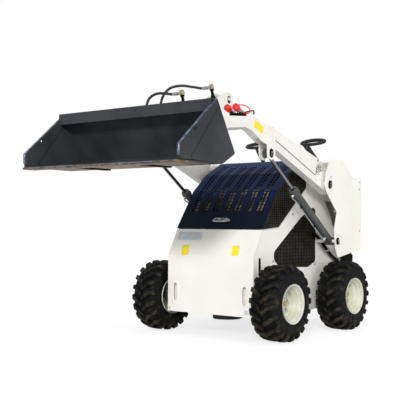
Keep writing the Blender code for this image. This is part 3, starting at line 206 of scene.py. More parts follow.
white = coat("white_powder_coat", (0.86, 0.84, 0.79), 0.33, 4.0, ((0.845, 0.825, 0.775), (0.885, 0.868, 0.825)),
    (12.0, 0.16, 0.25), (420.0, 1.0, 0.05, 0.0006), (0.35, 0.7), 4.0, 0.0022,
    **{"Coat Weight": 0.25, "Coat Roughness": 0.12})
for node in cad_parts.values():
    node.data.materials.clear()
for name in ("front_plate", "side_panel_left", "side_panel_right", "rear_panel", "console", "tower_left",
        "tower_right", "arm_left", "arm_right", "hose_cover_left", "hose_cover_right", "crossmember"):
    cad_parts[name].data.materials.append(white)

# Floor, dash and platform. Thicker plate with a fine-textured black coat that hides boot marks.
black = coat("black_textured_coat", (0.016, 0.016, 0.017), 0.5, 6.0,
    ((0.012, 0.012, 0.013), (0.028, 0.027, 0.026)), (30.0, 0.2, 0.4), (900.0, 2.0, 0.35, 0.0005), (0.3, 0.75))
for name in ("chassis", "dash_panel", "platform"):
    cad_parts[name].data.materials.append(black)

# Engine and wheel motors. Sand-cast iron, primed dark grey, with an uneven skin.
iron = coat("cast_iron", (0.05, 0.05, 0.05), 0.62, 25.0, ((0.035, 0.034, 0.033), (0.075, 0.072, 0.068)),
    grain=(260.0, 4.0, 0.5, 0.001), metallic=0.4)
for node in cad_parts.values():
    if node.name.startswith(("engine", "wheel_motor")):
        node.data.materials.append(iron)

# Bucket and its quick-attach plate. Thick mild steel plate with a charcoal coat, slightly mottled.
charcoal = coat("charcoal_coat", (0.036, 0.039, 0.046), 0.45, 3.5, ((0.03, 0.032, 0.038), (0.05, 0.053, 0.061)),
    (18.0, 0.22, 0.36), (300.0, 2.0, 0.1, 0.0006), (0.35, 0.65), 4.0, 0.002, **{"Specular IOR Level": 0.18})
for name in ("bucket", "quick_attach", "cutting_edge"):
    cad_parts[name].data.materials.append(charcoal)


# Tyres. Moulded rubber with some twenty deep bars a side, which lead down from the crown in a V and turn
# square to the smooth sidewall at the shoulder. The bead sits behind the rim's lip, and the tread is dusty.
def quads(rows, columns, wrap_rows=False, wrap_columns=False):
    """Faces of a grid of points that is stored row by row; a wrapped side joins its last line to its first."""
    row = np.arange(rows - (not wrap_rows))[:, None]
    column = np.arange(columns - (not wrap_columns))[None, :]
    next_row, next_column = (row + 1) % rows, (column + 1) % columns
    corners = (row * columns + column, row * columns + next_column, next_row * columns + next_column,
        next_row * columns + column)
    return np.stack(np.broadcast_arrays(*corners), -1).reshape(-1, 4)


def put(name, points, faces, material, body, smooth=True, closed=True):
    """A piece from an array of points and one of faces. A closed shape whose volume comes out negative
    (a sixth of the sum of each face's corner dotted with its normal) has its faces turned round."""
    points, faces = np.asarray(points, float).reshape(-1, 3), np.asarray(faces)
    corner = points[faces]
    normal = np.cross(corner[:, 2] - corner[:, 0], corner[:, -1] - corner[:, 1])
    if closed and (corner.mean(1) * normal).sum() < 0:
        faces = faces[:, ::-1]
    mesh = bpy.data.meshes.new(name)
    mesh.from_pydata(points.tolist(), [], faces.tolist())
    mesh.materials.append(material)
    if smooth:
        mesh.shade_smooth()
    piece = bpy.data.objects.new(name, mesh)
    bpy.context.scene.collection.objects.link(piece)
    weld = piece.modifiers.new("weld", "WELD")
    weld.merge_threshold = 0.00001
    if body:
        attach(piece, body)
    return piece


def smoothed(points, count):
    """Points at even steps along the Catmull-Rom curve through some knots."""
    knots = np.asarray(points, float)
    padded = np.vstack([2 * knots[0] - knots[1], knots, 2 * knots[-1] - knots[-2]])
    at = np.linspace(0, len(knots) - 1 - 1e-9, count * 4)
    step = at.astype(int)
    t = (at - step)[:, None]
    a, b, c, d = (padded[step + shift] for shift in range(4))
    curve = (2 * b + (c - a) * t + (2 * a - 5 * b + 4 * c - d) * t**2 + (3 * b - a - 3 * c + d) * t**3) / 2
    length = np.concatenate([[0], np.cumsum(np.linalg.norm(np.diff(curve, axis=0), axis=1))])
    even = np.linspace(0, length[-1], count)
    return np.stack([np.interp(even, length, column) for column in curve.T], -1)


def soft_step(value, low, high):
    """The smooth step 3t^2 - 2t^3 from 0 at low to 1 at high."""
    t = np.clip((value - low) / (high - low), 0, 1)
    return t * t * (3 - 2 * t)


# Each side of the machine and the way that it faces
SIDES = (("left", 1), ("right", -1))
BAR_DEPTH, BARS = 0.0205, 20
# The way down the section to the shoulder, and the share of it at which the bars turn square
SHOULDER, BEND = 0.108, 0.62
# (half width, radius) of the carcass from the crown over the shoulder and down the sidewall to the bead
CARCASS = ((0.0, 0.2328), (0.03, 0.2324), (0.062, 0.2306), (0.082, 0.225), (0.0915, 0.213), (0.0975, 0.194),
    (0.1, 0.17), (0.0992, 0.148), (0.0962, 0.1335), (0.088, 0.1275))
# Ways down the section from the crown at which it has a line, with a step at both ends of the bars
LINES = np.array([0, 0.0025, 0.005, 0.012, 0.022, 0.032, 0.042, 0.052, 0.062, 0.072, 0.082, 0.092, 0.101, 0.108,
    0.111, 0.116, 0.122, 0.13, 0.14, 0.15, 0.156, 0.159, 0.162, 0.17, 0.178, 0.185, 0.192, 0.196])
# Lines across each pitch as shares of it: the bars of one side rise from 0.02 to 0.05 and fall from 0.44 to
# 0.49, and those of the other lie half a pitch on
PITCH_LINES = np.array([0.02, 0.05, 0.15, 0.25, 0.35, 0.44, 0.49, 0.52, 0.55, 0.65, 0.75, 0.85, 0.94, 0.99])
paint, place = finish("tyre_rubber", (0.02, 0.018, 0.016), 0.72, **{"Specular IOR Level": 0.1})
low_down = place.axis("Z").ramp(0.24, 0.0)
worn_top = place.node("UVMap", {"uv_map": "wear"}).axis("X").ramp(0.55, 1.0)
dust = (noise(place, 24.0, 7.0) * 1.1 + low_down * 0.12 + worn_top * 0.14 - 0.1).ramp(0.48, 0.82)
rubber = feed(paint, Base_Color=dust.mixed((0.0052, 0.0054, 0.006), (0.042, 0.035, 0.024)),
    Roughness=noise(place, 40.0) * 0.3 + 0.45, Normal=bump(noise(place, 300.0, 4.0), 0.45, 0.001))
fine = smoothed(CARCASS, 200)
run = np.concatenate([[0], np.cumsum(np.linalg.norm(np.diff(fine, axis=0), axis=1))])
half = np.stack([np.interp(LINES * run[-1] / LINES[-1], run, column) for column in fine.T], -1)
along = np.gradient(half, axis=0)
outward = np.stack([-along[:, 1], along[:, 0]], -1) / np.linalg.norm(along, axis=1, keepdims=True)
outward[0] = (0, 1)
reach = LINES / SHOULDER
sweep = 0.95 * np.minimum(reach, BEND) + 0.35 * np.maximum(reach - BEND, 0)
ends = soft_step(LINES, 0.0024, 0.0051) * (1 - soft_step(LINES, 0.1079, 0.1111))
depth = BAR_DEPTH * ends * (1 - 0.55 * soft_step(LINES, 0.074, SHOULDER))
ridge = 0.0018 * np.exp(-((LINES - 0.159) / 0.0022) ** 2)
rows = np.concatenate([np.arange(len(LINES))[::-1], np.arange(1, len(LINES))])
other = np.arange(len(rows)) >= len(LINES)
pitch = (np.arange(BARS)[:, None] + PITCH_LINES).ravel()[:, None]
phase = (pitch + np.where(other, 0.5, 0.0)) % 1.0
top = np.minimum(np.clip((phase - 0.02) / 0.03, 0, 1), np.clip((0.49 - phase) / 0.05, 0, 1))
rise = depth[rows] * top + ridge[rows]
turn = (pitch - sweep[rows]) * 2 * math.pi / BARS
hand = np.where(other, 1, -1)
for side, facing in SIDES:
    for axle in ("front", "rear"):
        node = f"tyre_{axle}_{side}"
        low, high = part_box(node)
        centre = (low + high) / 2
        x = hand * (half[rows, 0] + rise * outward[rows, 0])
        radius = half[rows, 1] + rise * outward[rows, 1]
        points = np.stack([centre.x + facing * x, centre.y + radius * np.cos(turn),
            centre.z + radius * np.sin(turn)], -1)
        tyre = put(f"{node}_tread", points, quads(len(pitch), len(rows), wrap_rows=True), rubber,
            f"wheel_{axle}_{side}")
        tyre.data.set_sharp_from_angle(angle=math.radians(32))
        wear = tyre.data.uv_layers.new(name="wear")
        corner = np.empty(len(tyre.data.loops), int)
        tyre.data.loops.foreach_get("vertex_index", corner)
        height = (top * np.broadcast_to(ends[rows], top.shape)).ravel()[corner]
        wear.uv.foreach_set("vector", np.stack([height, 0 * height], -1).ravel())
        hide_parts(node)


# Rims. Two pressed steel dishes welded to a drop-centre barrel and dipped in cream paint; the disc is
# held to the hub by five cone nuts, and a brass valve comes through beside it.
def spun(name, profile, centre, axis, material, body, segments=96, smooth=True):
    """A profile of (radius, height) turned about an axis: centre + height along + radius around."""
    profile = np.asarray(profile, float)
    axis = np.asarray(Vector(axis).normalized())
    first = np.asarray(Vector(axis).orthogonal().normalized())
    second = np.cross(axis, first)
    angle = np.linspace(0, 2 * math.pi, segments, endpoint=False)[:, None, None]
    spoke = np.cos(angle) * first + np.sin(angle) * second
    points = np.asarray(centre) + profile[None, :, 1:] * axis + profile[None, :, :1] * spoke
    return put(name, points, quads(segments, len(profile), wrap_rows=True), material, body, smooth)


def edged(piece, angle=35.0):
    """Smooth faces with the edges over an angle kept sharp."""
    piece.data.shade_smooth()
    piece.data.set_sharp_from_angle(angle=math.radians(angle))
    return piece


cream = coat("cream_rim_paint", (0.6, 0.6, 0.49), 0.36, 14.0, ((0.555, 0.56, 0.455), (0.66, 0.665, 0.56)),
    (25.0, 0.2, 0.24), spread=(0.35, 0.7), **{"Specular IOR Level": 0.35})
zinc = coat("zinc_plate", (0.62, 0.61, 0.58), 0.3, matt=(120.0, 0.3, 0.18), metallic=1.0)
brass = coat("brass", (0.62, 0.42, 0.14), 0.28, matt=(150.0, 0.25, 0.18), metallic=1.0)
# (radius, height) from the disc's middle out over the outer lip, along the barrel and back inside
RIM_SECTION = ((0.0, 0.018), (0.058, 0.018), (0.066, 0.012), (0.09, 0.011), (0.095, 0.014), (0.0962, 0.022),
    (0.097, 0.04), (0.099, 0.0435), (0.106, 0.0455), (0.108, 0.049), (0.109, 0.067), (0.111, 0.071),
    (0.1175, 0.0735), (0.1195, 0.077), (0.1205, 0.094), (0.1225, 0.0985), (0.129, 0.101), (0.1315, 0.103),
    (0.132, 0.101), (0.13, 0.0985), (0.1245, 0.095), (0.124, 0.076), (0.109, 0.064), (0.108, -0.064),
    (0.124, -0.076), (0.124, -0.095), (0.1315, -0.101), (0.13, -0.1035), (0.12, -0.097), (0.105, -0.064),
    (0.104, 0.006), (0.09, 0.006), (0.0, 0.008))
# The disc's face stands this far out of the tyre's middle plane; the nuts' number and their circle's radius
DISC, NUTS, NUT_CIRCLE = 0.018, 5, 0.05
for side, facing in SIDES:
    for axle in ("front", "rear"):
        node, body = f"rim_{axle}_{side}", f"wheel_{axle}_{side}"
        low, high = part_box(node)
        centre = np.array((low + high) / 2)
        rim = edged(spun(f"{node}_dish", RIM_SECTION, centre, (facing, 0, 0), cream, body, 128), 40)
        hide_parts(node)
        for step in range(NUTS):
            angle = 2 * math.pi * step / NUTS + 0.3
            at = centre + (facing * DISC, NUT_CIRCLE * math.cos(angle), NUT_CIRCLE * math.sin(angle))
            edged(spun(f"{node}_nut_{step}", ((0, 0.016), (0.005, 0.016), (0.0095, 0.013), (0.0095, 0.001),
                (0.013, 0.0), (0, 0.0)), at, (facing, 0, 0), zinc, body, 6))
        edged(spun(f"{node}_hub_seat", ((0, 0.01), (0.026, 0.01), (0.028, 0.008), (0.028, 0.0), (0, 0)),
            centre + (facing * DISC, 0, 0), (facing, 0, 0), cream, body, 48))
        edged(spun(f"{node}_hub_nut", ((0, 0.026), (0.006, 0.026), (0.007, 0.024), (0.0135, 0.022),
            (0.016, 0.019), (0.016, 0.0095), (0, 0.0095)), centre + (facing * DISC, 0, 0), (facing, 0, 0),
            brass, body, 6))
        stem = centre + (facing * 0.014, -0.076, -0.03)
        edged(spun(f"{node}_valve", ((0, 0.034), (0.003, 0.034), (0.0035, 0.03), (0.0045, 0.029),
            (0.0045, 0.012), (0.0075, 0.01), (0.0075, 0.0), (0, 0)), stem, (facing, 0, 0), brass, body, 20))


# Hood. A 3 mm skin bent over the front and top, painted a deep navy and welded to two black cheeks. Seven
# pairs of punched rows let the radiator breathe, and oblong holes pierce the cheeks, lined with black felt.
def strip(name, across_lines, along_lines, shape, holes, material, body):
    """A sheet on a grid of lines: shape(u, v) gives each crossing's place. holes marks cells: 1 is open and
    2 to 5 keep only the triangle at their first, second, third or fourth corner."""
    u, v = np.meshgrid(across_lines, along_lines)
    points = shape(u, v)
    faces = quads(len(along_lines), len(across_lines))
    kind = holes.ravel()
    corners = [faces[kind == 0].tolist()]
    for code, keep in ((2, (3, 0, 1)), (3, (0, 1, 2)), (4, (1, 2, 3)), (5, (2, 3, 0))):
        corners.append(faces[kind == code][:, keep].tolist())
    mesh = bpy.data.meshes.new(name)
    mesh.from_pydata(points.reshape(-1, 3).tolist(), [], sum(corners, []))
    mesh.materials.append(material)
    sheet = bpy.data.objects.new(name, mesh)
    bpy.context.scene.collection.objects.link(sheet)
    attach(sheet, body)
    return sheet


def punched(columns, rows, width, length, chamfer, low, high):
    """Grid lines and cell marks for slots of one size about given middles, with chamfered corners."""
    def lines(middles, size, low, high):
        parts = np.asarray(middles)[:, None] + np.array([-size / 2, chamfer - size / 2, size / 2 - chamfer,
            size / 2])
        return np.concatenate([[low], parts.ravel(), [high]])
    across_lines, along_lines = lines(columns, width, *low), lines(rows, length, *high)
    marks = np.zeros((len(along_lines) - 1, len(across_lines) - 1), int)
    slot = np.array([[2, 1, 3], [1, 1, 1], [5, 1, 4]])
    for row in range(3):
        for column in range(3):
            marks[1 + row::4, 1 + column::4] = slot[row, column]
    return across_lines, along_lines, marks


paint, place = finish("navy_gloss", (0.006, 0.016, 0.05), 0.28, **{"Specular IOR Level": 0.07})
# Painted light: the navy darkens toward the skin's foot as painted shade and lightens toward its top as a
# painted reflection of the sky.
painted_sheen_and_shade = place.axis("Z").ramp(0.84, 1.22).mixed((0.0035, 0.0075, 0.017), (0.0062, 0.021, 0.074))
navy = feed(paint, Base_Color=painted_sheen_and_shade, Roughness=noise(place, 20.0) * 0.08 + 0.28,
    Normal=bump(noise(place, 500.0, 1.0), 0.03, 0.0005))
low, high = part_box("hood")
# (y, height) of the skin's outer face from its foot to the hinge
SKIN = np.array([(-0.0885, 0.744), (0.0984, 1.0142), (0.2485, 1.1402), (0.4342, 1.2374), (0.5345, 1.25)])
skin_run = np.concatenate([[0], np.cumsum(np.linalg.norm(np.diff(SKIN, axis=0), axis=1))])


def on_skin(u, v):
    """Crossings of the flat sheet's lines over the skin: v is the way along the profile from its foot."""
    return np.stack([u, np.interp(v, skin_run, SKIN[:, 0]), np.interp(v, skin_run, SKIN[:, 1])], -1)


ROW_GAP, PAIR_GAP, SLOT_WIDTH, SLOT_LENGTH, SLOT_PITCH = 0.03, 0.0945, 0.0195, 0.021, 0.0285
FIRST_SLOT, SLOTS, CHAMFER, SHEET = 0.16, 19, 0.0035, 0.003
middles = (np.arange(7)[:, None] - 3) * PAIR_GAP + np.array([-ROW_GAP / 2, ROW_GAP / 2])
slots = FIRST_SLOT + SLOT_PITCH * np.arange(SLOTS)
across_lines, along_lines, marks = punched(middles.ravel(), slots, SLOT_WIDTH, SLOT_LENGTH, CHAMFER,
    (low.x, high.x), (0.0, skin_run[-1]))
bends = skin_run[1:-1]
where = np.searchsorted(along_lines, bends)
along_lines = np.insert(along_lines, where, bends)
marks = np.insert(marks, where, marks[where - 1], axis=0)
skin = strip("hood_skin", across_lines, along_lines, on_skin, marks, navy, "hood")
wall = skin.modifiers.new("wall", "SOLIDIFY")
wall.thickness = SHEET
wall.offset = -1.0
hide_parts("hood")


def plate(name, loops, thickness, middle, material, body, view="side", bevel=0.0):
    """A flat plate: the first loop is its outline and the others are holes, seen from the side (y, z),
    the front (x, z) or above (x, y); middle is its place along the third axis."""
    curve = bpy.data.curves.new(name, "CURVE")
    curve.dimensions, curve.fill_mode, curve.extrude = "2D", "BOTH", thickness / 2 - bevel
    curve.bevel_depth, curve.offset, curve.bevel_resolution = bevel, -bevel, 1
    for loop in loops:
        loop = np.asarray(loop, float)
        spline = curve.splines.new("POLY")
        spline.points.add(len(loop) - 1)
        spline.use_cyclic_u = True
        spline.points.foreach_set("co",
            np.hstack([loop, np.zeros((len(loop), 1)), np.ones((len(loop), 1))]).ravel())
    holder = bpy.data.objects.new(name, curve)
    bpy.context.scene.collection.objects.link(holder)
    mesh = bpy.data.meshes.new_from_object(holder.evaluated_get(bpy.context.evaluated_depsgraph_get()))
    bpy.data.objects.remove(holder)
    axes = {"side": ((0, 1, 0), (0, 0, 1), (1, 0, 0)), "front": ((1, 0, 0), (0, 0, 1), (0, -1, 0)),
        "top": ((1, 0, 0), (0, 1, 0), (0, 0, 1))}[view]
    turn = Matrix(axes).transposed().to_4x4()
    depth = -middle if view == "front" else middle
    mesh.transform(turn @ Matrix.Translation((0, 0, depth)))
    mesh.materials.clear()
    mesh.materials.append(material)
    mesh.name = name
    piece = bpy.data.objects.new(name, mesh)
    bpy.context.scene.collection.objects.link(piece)
    weld = piece.modifiers.new("weld", "WELD")
    weld.merge_threshold = 0.00001
    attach(piece, body)
    return piece


def inside(points, loop, margin):
    """Which points lie inside a convex or concave loop by at least a margin: an odd count of crossings, and
    further than the margin from each side."""
    a, b = loop, np.roll(loop, -1, axis=0)
    x, y = points[:, None, 0], points[:, None, 1]
    with np.errstate(divide="ignore", invalid="ignore"):
        crossing = (a[:, 1] > y) != (b[:, 1] > y)
        cut = a[:, 0] + (y - a[:, 1]) * (b[:, 0] - a[:, 0]) / (b[:, 1] - a[:, 1])
    odd = (crossing & (x < cut)).sum(1) % 2 == 1
    side = b - a
    t = np.clip(((points[:, None] - a) * side).sum(-1) / (side**2).sum(-1), 0, 1)
    near = np.linalg.norm(points[:, None] - a - t[..., None] * side, axis=-1).min(1)
    return odd & (near > margin)


def punched_holes(loop, pitch, size, margin):
    """Outlines of oblong holes on a grid that lie inside a loop: pitch and size are each across and up."""
    low, high = loop.min(0), loop.max(0)
    grid = np.stack(np.meshgrid(*(np.arange(low[k] + pitch[k] / 2, high[k], pitch[k]) for k in (0, 1))),
        -1).reshape(-1, 2)
    corner = np.array([(-1, -1), (-1, 1), (1, 1), (1, -1)]) * size / 2
    return [middle + corner for middle in grid[inside(grid, loop, margin)]]


cheek_loop = np.vstack([SKIN - (0.0, 0.0032), [(0.5345, 1.125), (0.4745, 1.125), (0.4745, 1.042),
    (0.1096, 0.757)]])
gloss_black = coat("black_gloss", (0.01, 0.01, 0.01), 0.5, 8.0,
    ((0.0045, 0.0043, 0.0038), (0.0105, 0.0096, 0.008)), (35.0, 0.25, 0.38), **{"Specular IOR Level": 0.06})
grille_black = coat("grille_black", (0.02, 0.018, 0.012), 0.45, 14.0,
    ((0.0085, 0.0075, 0.0052), (0.021, 0.018, 0.011)), (60.0, 0.3, 0.3), spread=(0.35, 0.65), detail=5.0,
    **{"Specular IOR Level": 0.15})
felt = coat("sound_felt", (0.002, 0.002, 0.002), 0.9, 200.0, ((0.001, 0.001, 0.001), (0.0042, 0.004, 0.0036)),
    grain=(600.0, 4.0, 0.6, 0.001), detail=4.0, **{"Specular IOR Level": 0.02})
holes = punched_holes(cheek_loop, (0.026, 0.016), (0.014, 0.009), 0.018)
for side, facing in SIDES:
    plate(f"hood_cheek_{side}", [cheek_loop, *holes], SHEET, facing * (high.x - 0.0016), grille_black, "hood")
    plate(f"hood_felt_{side}", [cheek_loop + (cheek_loop.mean(0) - cheek_loop) * 0.03], 0.004,
        facing * (high.x - 0.009), felt, "hood")
    spun(f"hood_knuckle_{side}", ((0.0056, 0.02), (0.012, 0.02), (0.012, -0.02), (0.0056, -0.02),
        (0.0056, 0.02)), (facing * 0.26, 0.5345, 1.238), (1, 0, 0), navy, "hood", 32)


# Work lamp. A slim sealed LED bar: a die-cast bezel with a bolted ear at each end, a clear lens over
# reflector cups.
SQUARE = np.eye(3)  # the machine's own directions


def rounded_box(name, size, centre, axes, radius, material, body):
    """A block with soft edges: a cube's grid pushed onto a box plus a sphere of the edge's radius. axes are
    the block's own directions."""
    n = 9
    t = np.linspace(-1, 1, n)
    u, v = np.meshgrid(t, t)
    one = np.ones_like(u)
    faces = np.concatenate([np.stack(side, -1).reshape(-1, 3) for side in ((one, u, v), (-one, u, v),
        (u, one, v), (u, -one, v), (u, v, one), (u, v, -one))])
    half = np.asarray(size) / 2
    core = half - radius
    flat = faces * half
    base = np.clip(flat, -core, core)
    away = flat - base
    length = np.linalg.norm(away, axis=1, keepdims=True)
    local = np.where(length > 0, base + away / np.maximum(length, 1e-12) * radius, flat)
    axes = np.asarray([Vector(axis).normalized() for axis in axes])
    points = np.asarray(centre) + local @ axes
    block = []
    for side in range(6):
        face = quads(n, n) + side * n * n
        corner = points[face]
        normal = np.cross(corner[:, 2] - corner[:, 0], corner[:, 3] - corner[:, 1])
        outward = ((corner.mean(1) - np.asarray(centre)) * normal).sum()
        block.append(face if outward > 0 else face[:, ::-1])
    return put(name, points, np.concatenate(block), material, body, closed=False)


silver = coat("die_cast_silver", (0.52, 0.54, 0.56), 0.32, matt=(90.0, 0.3, 0.2), metallic=0.9)
paint, place = finish("lamp_lens", (0.8, 0.85, 0.9), 0.06, **{"Coat Weight": 1.0})
# Painted highlights and shade: each reflector cup shows through the lens as a bright middle painted on a
# near-black ground.
cells = place.node("TexVoronoi", {"feature": "F1"}, {"Vector": place, "Scale": 62.0}, "Distance")
lens_painted_glints = feed(paint, Base_Color=cells.ramp(0.1, 0.55).mixed((0.8, 0.86, 0.95), (0.03, 0.035, 0.05)),
    Normal=bump(cells, 0.6, 0.002))
face_up = np.array((0.0, 0.569, 0.822))
face_out = np.array((0.0, -0.822, 0.569))
lamp_at = np.array((0.0, -0.0511, 0.798))
lamp_axes = ((1, 0, 0), face_up, face_out)
lamp_body = rounded_box("lamp_bezel", (0.118, 0.034, 0.016), lamp_at + face_out * 0.0085, lamp_axes, 0.007,
    silver, "hood")
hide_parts("hood_lamp")
rounded_box("lamp_lens", (0.104, 0.022, 0.006), lamp_at + face_out * 0.016, lamp_axes, 0.0025, lens_painted_glints,
    "hood")
for side, facing in SIDES:
    ear = lamp_at + np.array((facing * 0.0645, 0, 0)) + face_out * 0.003
    rounded_box(f"lamp_ear_{side}", (0.018, 0.016, 0.005), ear, lamp_axes, 0.0022, silver, "hood")
    spun(f"lamp_bolt_{side}", ((0, 0.006), (0.003, 0.0058), (0.0052, 0.004), (0.0058, 0.0), (0, 0)),
        ear + face_out * 0.0025 + np.array((facing * 0.0025, 0, 0)), face_out, zinc, "hood", 24)


# Radiator grilles. Flat sheet punched with oblong holes and painted black closes the opening of each side
# panel from inside. Silver button screws stand round the opening.
OPENING = np.array([(0.0643, 0.5328), (0.0643, 0.5856), (0.3578, 0.8246), (0.51, 0.9085), (0.6395, 0.8796),
    (0.6401, 0.5059), (0.5325, 0.4655), (0.1389, 0.4779)])
outwards = OPENING - OPENING.mean(0)
outwards /= np.linalg.norm(outwards, axis=1, keepdims=True)
border = OPENING + outwards * 0.018
mesh_holes = punched_holes(OPENING, (0.039, 0.0244), (0.019, 0.0118), 0.012)
low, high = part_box("side_grille_left")
for side, facing in SIDES:
    grille = plate(f"radiator_grille_{side}", [border, *mesh_holes], high.x - low.x,
        facing * (low.x + high.x) / 2, grille_black, "chassis")
    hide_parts(f"side_grille_{side}")
    panel_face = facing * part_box("side_panel_left")[1].x
    # (y, z) of the screws at the opening's corners and along the band above it
    for index, (y, z) in enumerate(((0.055, 0.523), (0.306, 0.753), (0.305, 0.8466), (0.612, 0.486))):
        spun(f"grille_screw_{side}_{index}", ((0, 0.006), (0.0055, 0.0054), (0.0088, 0.003), (0.0096, 0.0),
            (0, 0)), (panel_face, y, z), (facing, 0, 0), silver, "chassis", 24)


# Lift and tilt cylinders. Seamless barrels in dark satin grey with a turned gland, a welded eye at the
# base and chromed rods; oil runs to the gland end in a bright steel line clipped along the barrel.
def tube(name, path, radius, material, body, sides=16, ends=True):
    """A round tube carried along a path: each ring is the path's point plus the radius times two directions
    across its tangent, which each ring takes over from the one before less what lies along the path. The
    radius is one number, one for each ring or one for each point; with ends, a point closes each of them."""
    path = np.asarray(path, float)
    along = np.gradient(path, axis=0)
    along /= np.linalg.norm(along, axis=1, keepdims=True)
    first = [np.cross(along[0], np.eye(3)[np.argmin(np.abs(along[0]))])]
    for tangent in along:
        side = first[-1] - tangent * (first[-1] @ tangent)
        first.append(side / np.linalg.norm(side))
    first = np.array(first[1:])
    second = np.cross(along, first)
    angle = np.linspace(0, 2 * math.pi, sides, endpoint=False)
    ring = np.cos(angle)[None, :, None] * first[:, None] + np.sin(angle)[None, :, None] * second[:, None]
    radius = np.asarray(radius, float).reshape(-1, sides if np.ndim(radius) == 2 else 1)
    points = path[:, None] + np.broadcast_to(radius, (len(path), sides))[..., None] * ring
    if ends:
        start, stop = np.repeat(path[None, :1], sides, 1), np.repeat(path[None, -1:], sides, 1)
        points = np.concatenate([start, points, stop])
    return put(name, points, quads(len(points), sides, wrap_columns=True), material, body)


def eye(name, centre, radius, hole, width, material, body):
    """A ring turned about the sideways axis, with its edges broken."""
    half = width / 2
    section = ((hole, half), (radius - 0.002, half), (radius, half - 0.002), (radius, 0.002 - half),
        (radius - 0.002, -half), (hole, -half), (hole, half))
    return edged(spun(name, section, centre, (1, 0, 0), material, body, 48))


barrel_paint = coat("cylinder_grey", (0.04, 0.043, 0.045), 0.36, 10.0,
    ((0.032, 0.035, 0.036), (0.062, 0.064, 0.064)), (45.0, 0.25, 0.25), **{"Coat Weight": 0.3})
paint, place = finish("hard_chrome", (0.3, 0.3, 0.31), 0.16, 1.0)
chrome = feed(paint, Roughness=noise(place, 260.0, 1.0) * 0.14 + 0.08)
PIN_BORE = 0.0137


def ram(name, base, eye_at, x, radius, length, rod_radius, eye_radius, eye_width, base_width, barrel_body,
        rod_body):
    """A cylinder in the plane x: a barrel from its base pin with its gland at the end, and its rod."""
    base, eye_at = np.array((x, *base)), np.array((x, *eye_at))
    along = (eye_at - base) / np.linalg.norm(eye_at - base)
    barrel = edged(spun(f"{name}_barrel_tube", ((0, eye_radius * 0.6), (radius * 0.8, eye_radius * 0.6),
        (radius, eye_radius * 0.6 + 0.006), (radius, length - 0.052), (radius + 0.0015, length - 0.05),
        (radius + 0.0055, length - 0.048), (radius + 0.0065, length - 0.044), (radius + 0.0065, length - 0.018),
        (radius + 0.005, length - 0.015), (radius + 0.002, length - 0.014), (radius + 0.0018, length - 0.004),
        (radius - 0.002, length), (rod_radius + 0.004, length), (rod_radius + 0.0035, length - 0.004),
        (rod_radius + 0.0012, length - 0.004), (rod_radius + 0.0012, length - 0.02), (0, length - 0.02)), base,
        along, barrel_paint, barrel_body, 64))
    eye(f"{name}_barrel_eye", base, eye_radius, PIN_BORE, base_width, barrel_paint, barrel_body)
    reach = np.linalg.norm(eye_at - base)
    rod_end = reach - eye_radius * 0.9
    rod = edged(spun(f"{name}_rod_shaft", ((0, length - 0.25), (rod_radius, length - 0.25),
        (rod_radius, rod_end), (0, rod_end)), base, along, chrome, rod_body, 48))
    eye(f"{name}_rod_eye", eye_at, eye_radius, PIN_BORE, eye_width, barrel_paint, rod_body)
    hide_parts(f"{name}_barrel")
    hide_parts(f"{name}_rod")
    return base, along


for side, facing in SIDES:
    x = facing * 0.475
    barrel_body = f"lift_barrel_{side}"
    base, along = ram(f"lift_{side}", (0.6375, 0.655), (-0.1955, 1.241), x, 0.0285, 0.631, 0.012, 0.03, 0.036,
        0.057, barrel_body, f"lift_rod_{side}")
    beneath = np.array((0.0, -along[2], along[1]))
    line = [base + along * way + beneath * drop for way, drop in ((0.606, 0.036), (0.604, 0.046), (0.59, 0.051),
        (0.56, 0.0455), (0.54, 0.0435), (0.3, 0.0435), (0.12, 0.0435), (0.105, 0.046), (0.095, 0.052))]
    tube(f"oil_line_{side}", smoothed(line, 40), 0.0045, silver, barrel_body, 12)
    for index, way in enumerate((0.6, 0.075)):
        root = base + along * way + beneath * 0.022
        edged(spun(f"lift_port_{side}_{index}", ((0, 0.024), (0.0095, 0.024), (0.0105, 0.022), (0.0105, 0.012),
            (0.014, 0.01), (0.015, 0.0), (0, 0)), root, beneath, zinc, barrel_body, 24))
    for index, way in enumerate((0.47, 0.25)):
        clip = base + along * way + beneath * 0.0385
        rounded_box(f"line_clip_{side}_{index}", (0.016, 0.018, 0.016), clip, ((1, 0, 0), along, beneath),
            0.003, gloss_black, barrel_body)
tilt_base, tilt_along = ram("tilt", (-0.0475, 1.652), (-0.8115, 1.46), 0.0, 0.03, 0.52, 0.014, 0.028, 0.044,
    0.076, "tilt_barrel", "tilt_rod")


# Tilt hoses. Two rubber hoses in a black spiral guard bring the tilt cylinder its oil: each has a crimped
# zinc sleeve and nut at both ends, leaves a port's elbow sideways, bends over by its own stiffness and comes
# down to the crossmember.
HOSE_ROUTES = {
    "front": ((-0.0353, -0.4986, 1.6417), (-0.0550, -0.4986, 1.6417), (-0.0850, -0.4986, 1.6417),
              (-0.1650, -0.4965, 1.6560), (-0.2400, -0.4925, 1.6570), (-0.3030, -0.4865, 1.6300),
              (-0.3330, -0.4795, 1.5700), (-0.3300, -0.4755, 1.5150), (-0.3300, -0.4755, 1.4900),
              (-0.3300, -0.4755, 1.4683)),
    "rear": ((-0.0353, -0.1756, 1.7229), (-0.0550, -0.1756, 1.7229), (-0.0800, -0.1756, 1.7229),
             (-0.1350, -0.2105, 1.7330), (-0.1800, -0.2905, 1.7360), (-0.2050, -0.3805, 1.7080),
             (-0.2140, -0.4425, 1.6450), (-0.2160, -0.4705, 1.5650), (-0.2160, -0.4755, 1.5150),
             (-0.2160, -0.4755, 1.4900), (-0.2160, -0.4755, 1.4683)),
}
HOSE_LENGTHS = {"front": 0.447, "rear": 0.574}
GUARD_RADIUS, GUARD_RIB, GUARD_PITCH = 0.009, 0.0008, 0.0095
hose_black = coat("hose_cover", (0.012, 0.012, 0.013), 0.5, 30.0, ((0.009, 0.009, 0.01), (0.03, 0.029, 0.028)),
    (90.0, 0.3, 0.35))
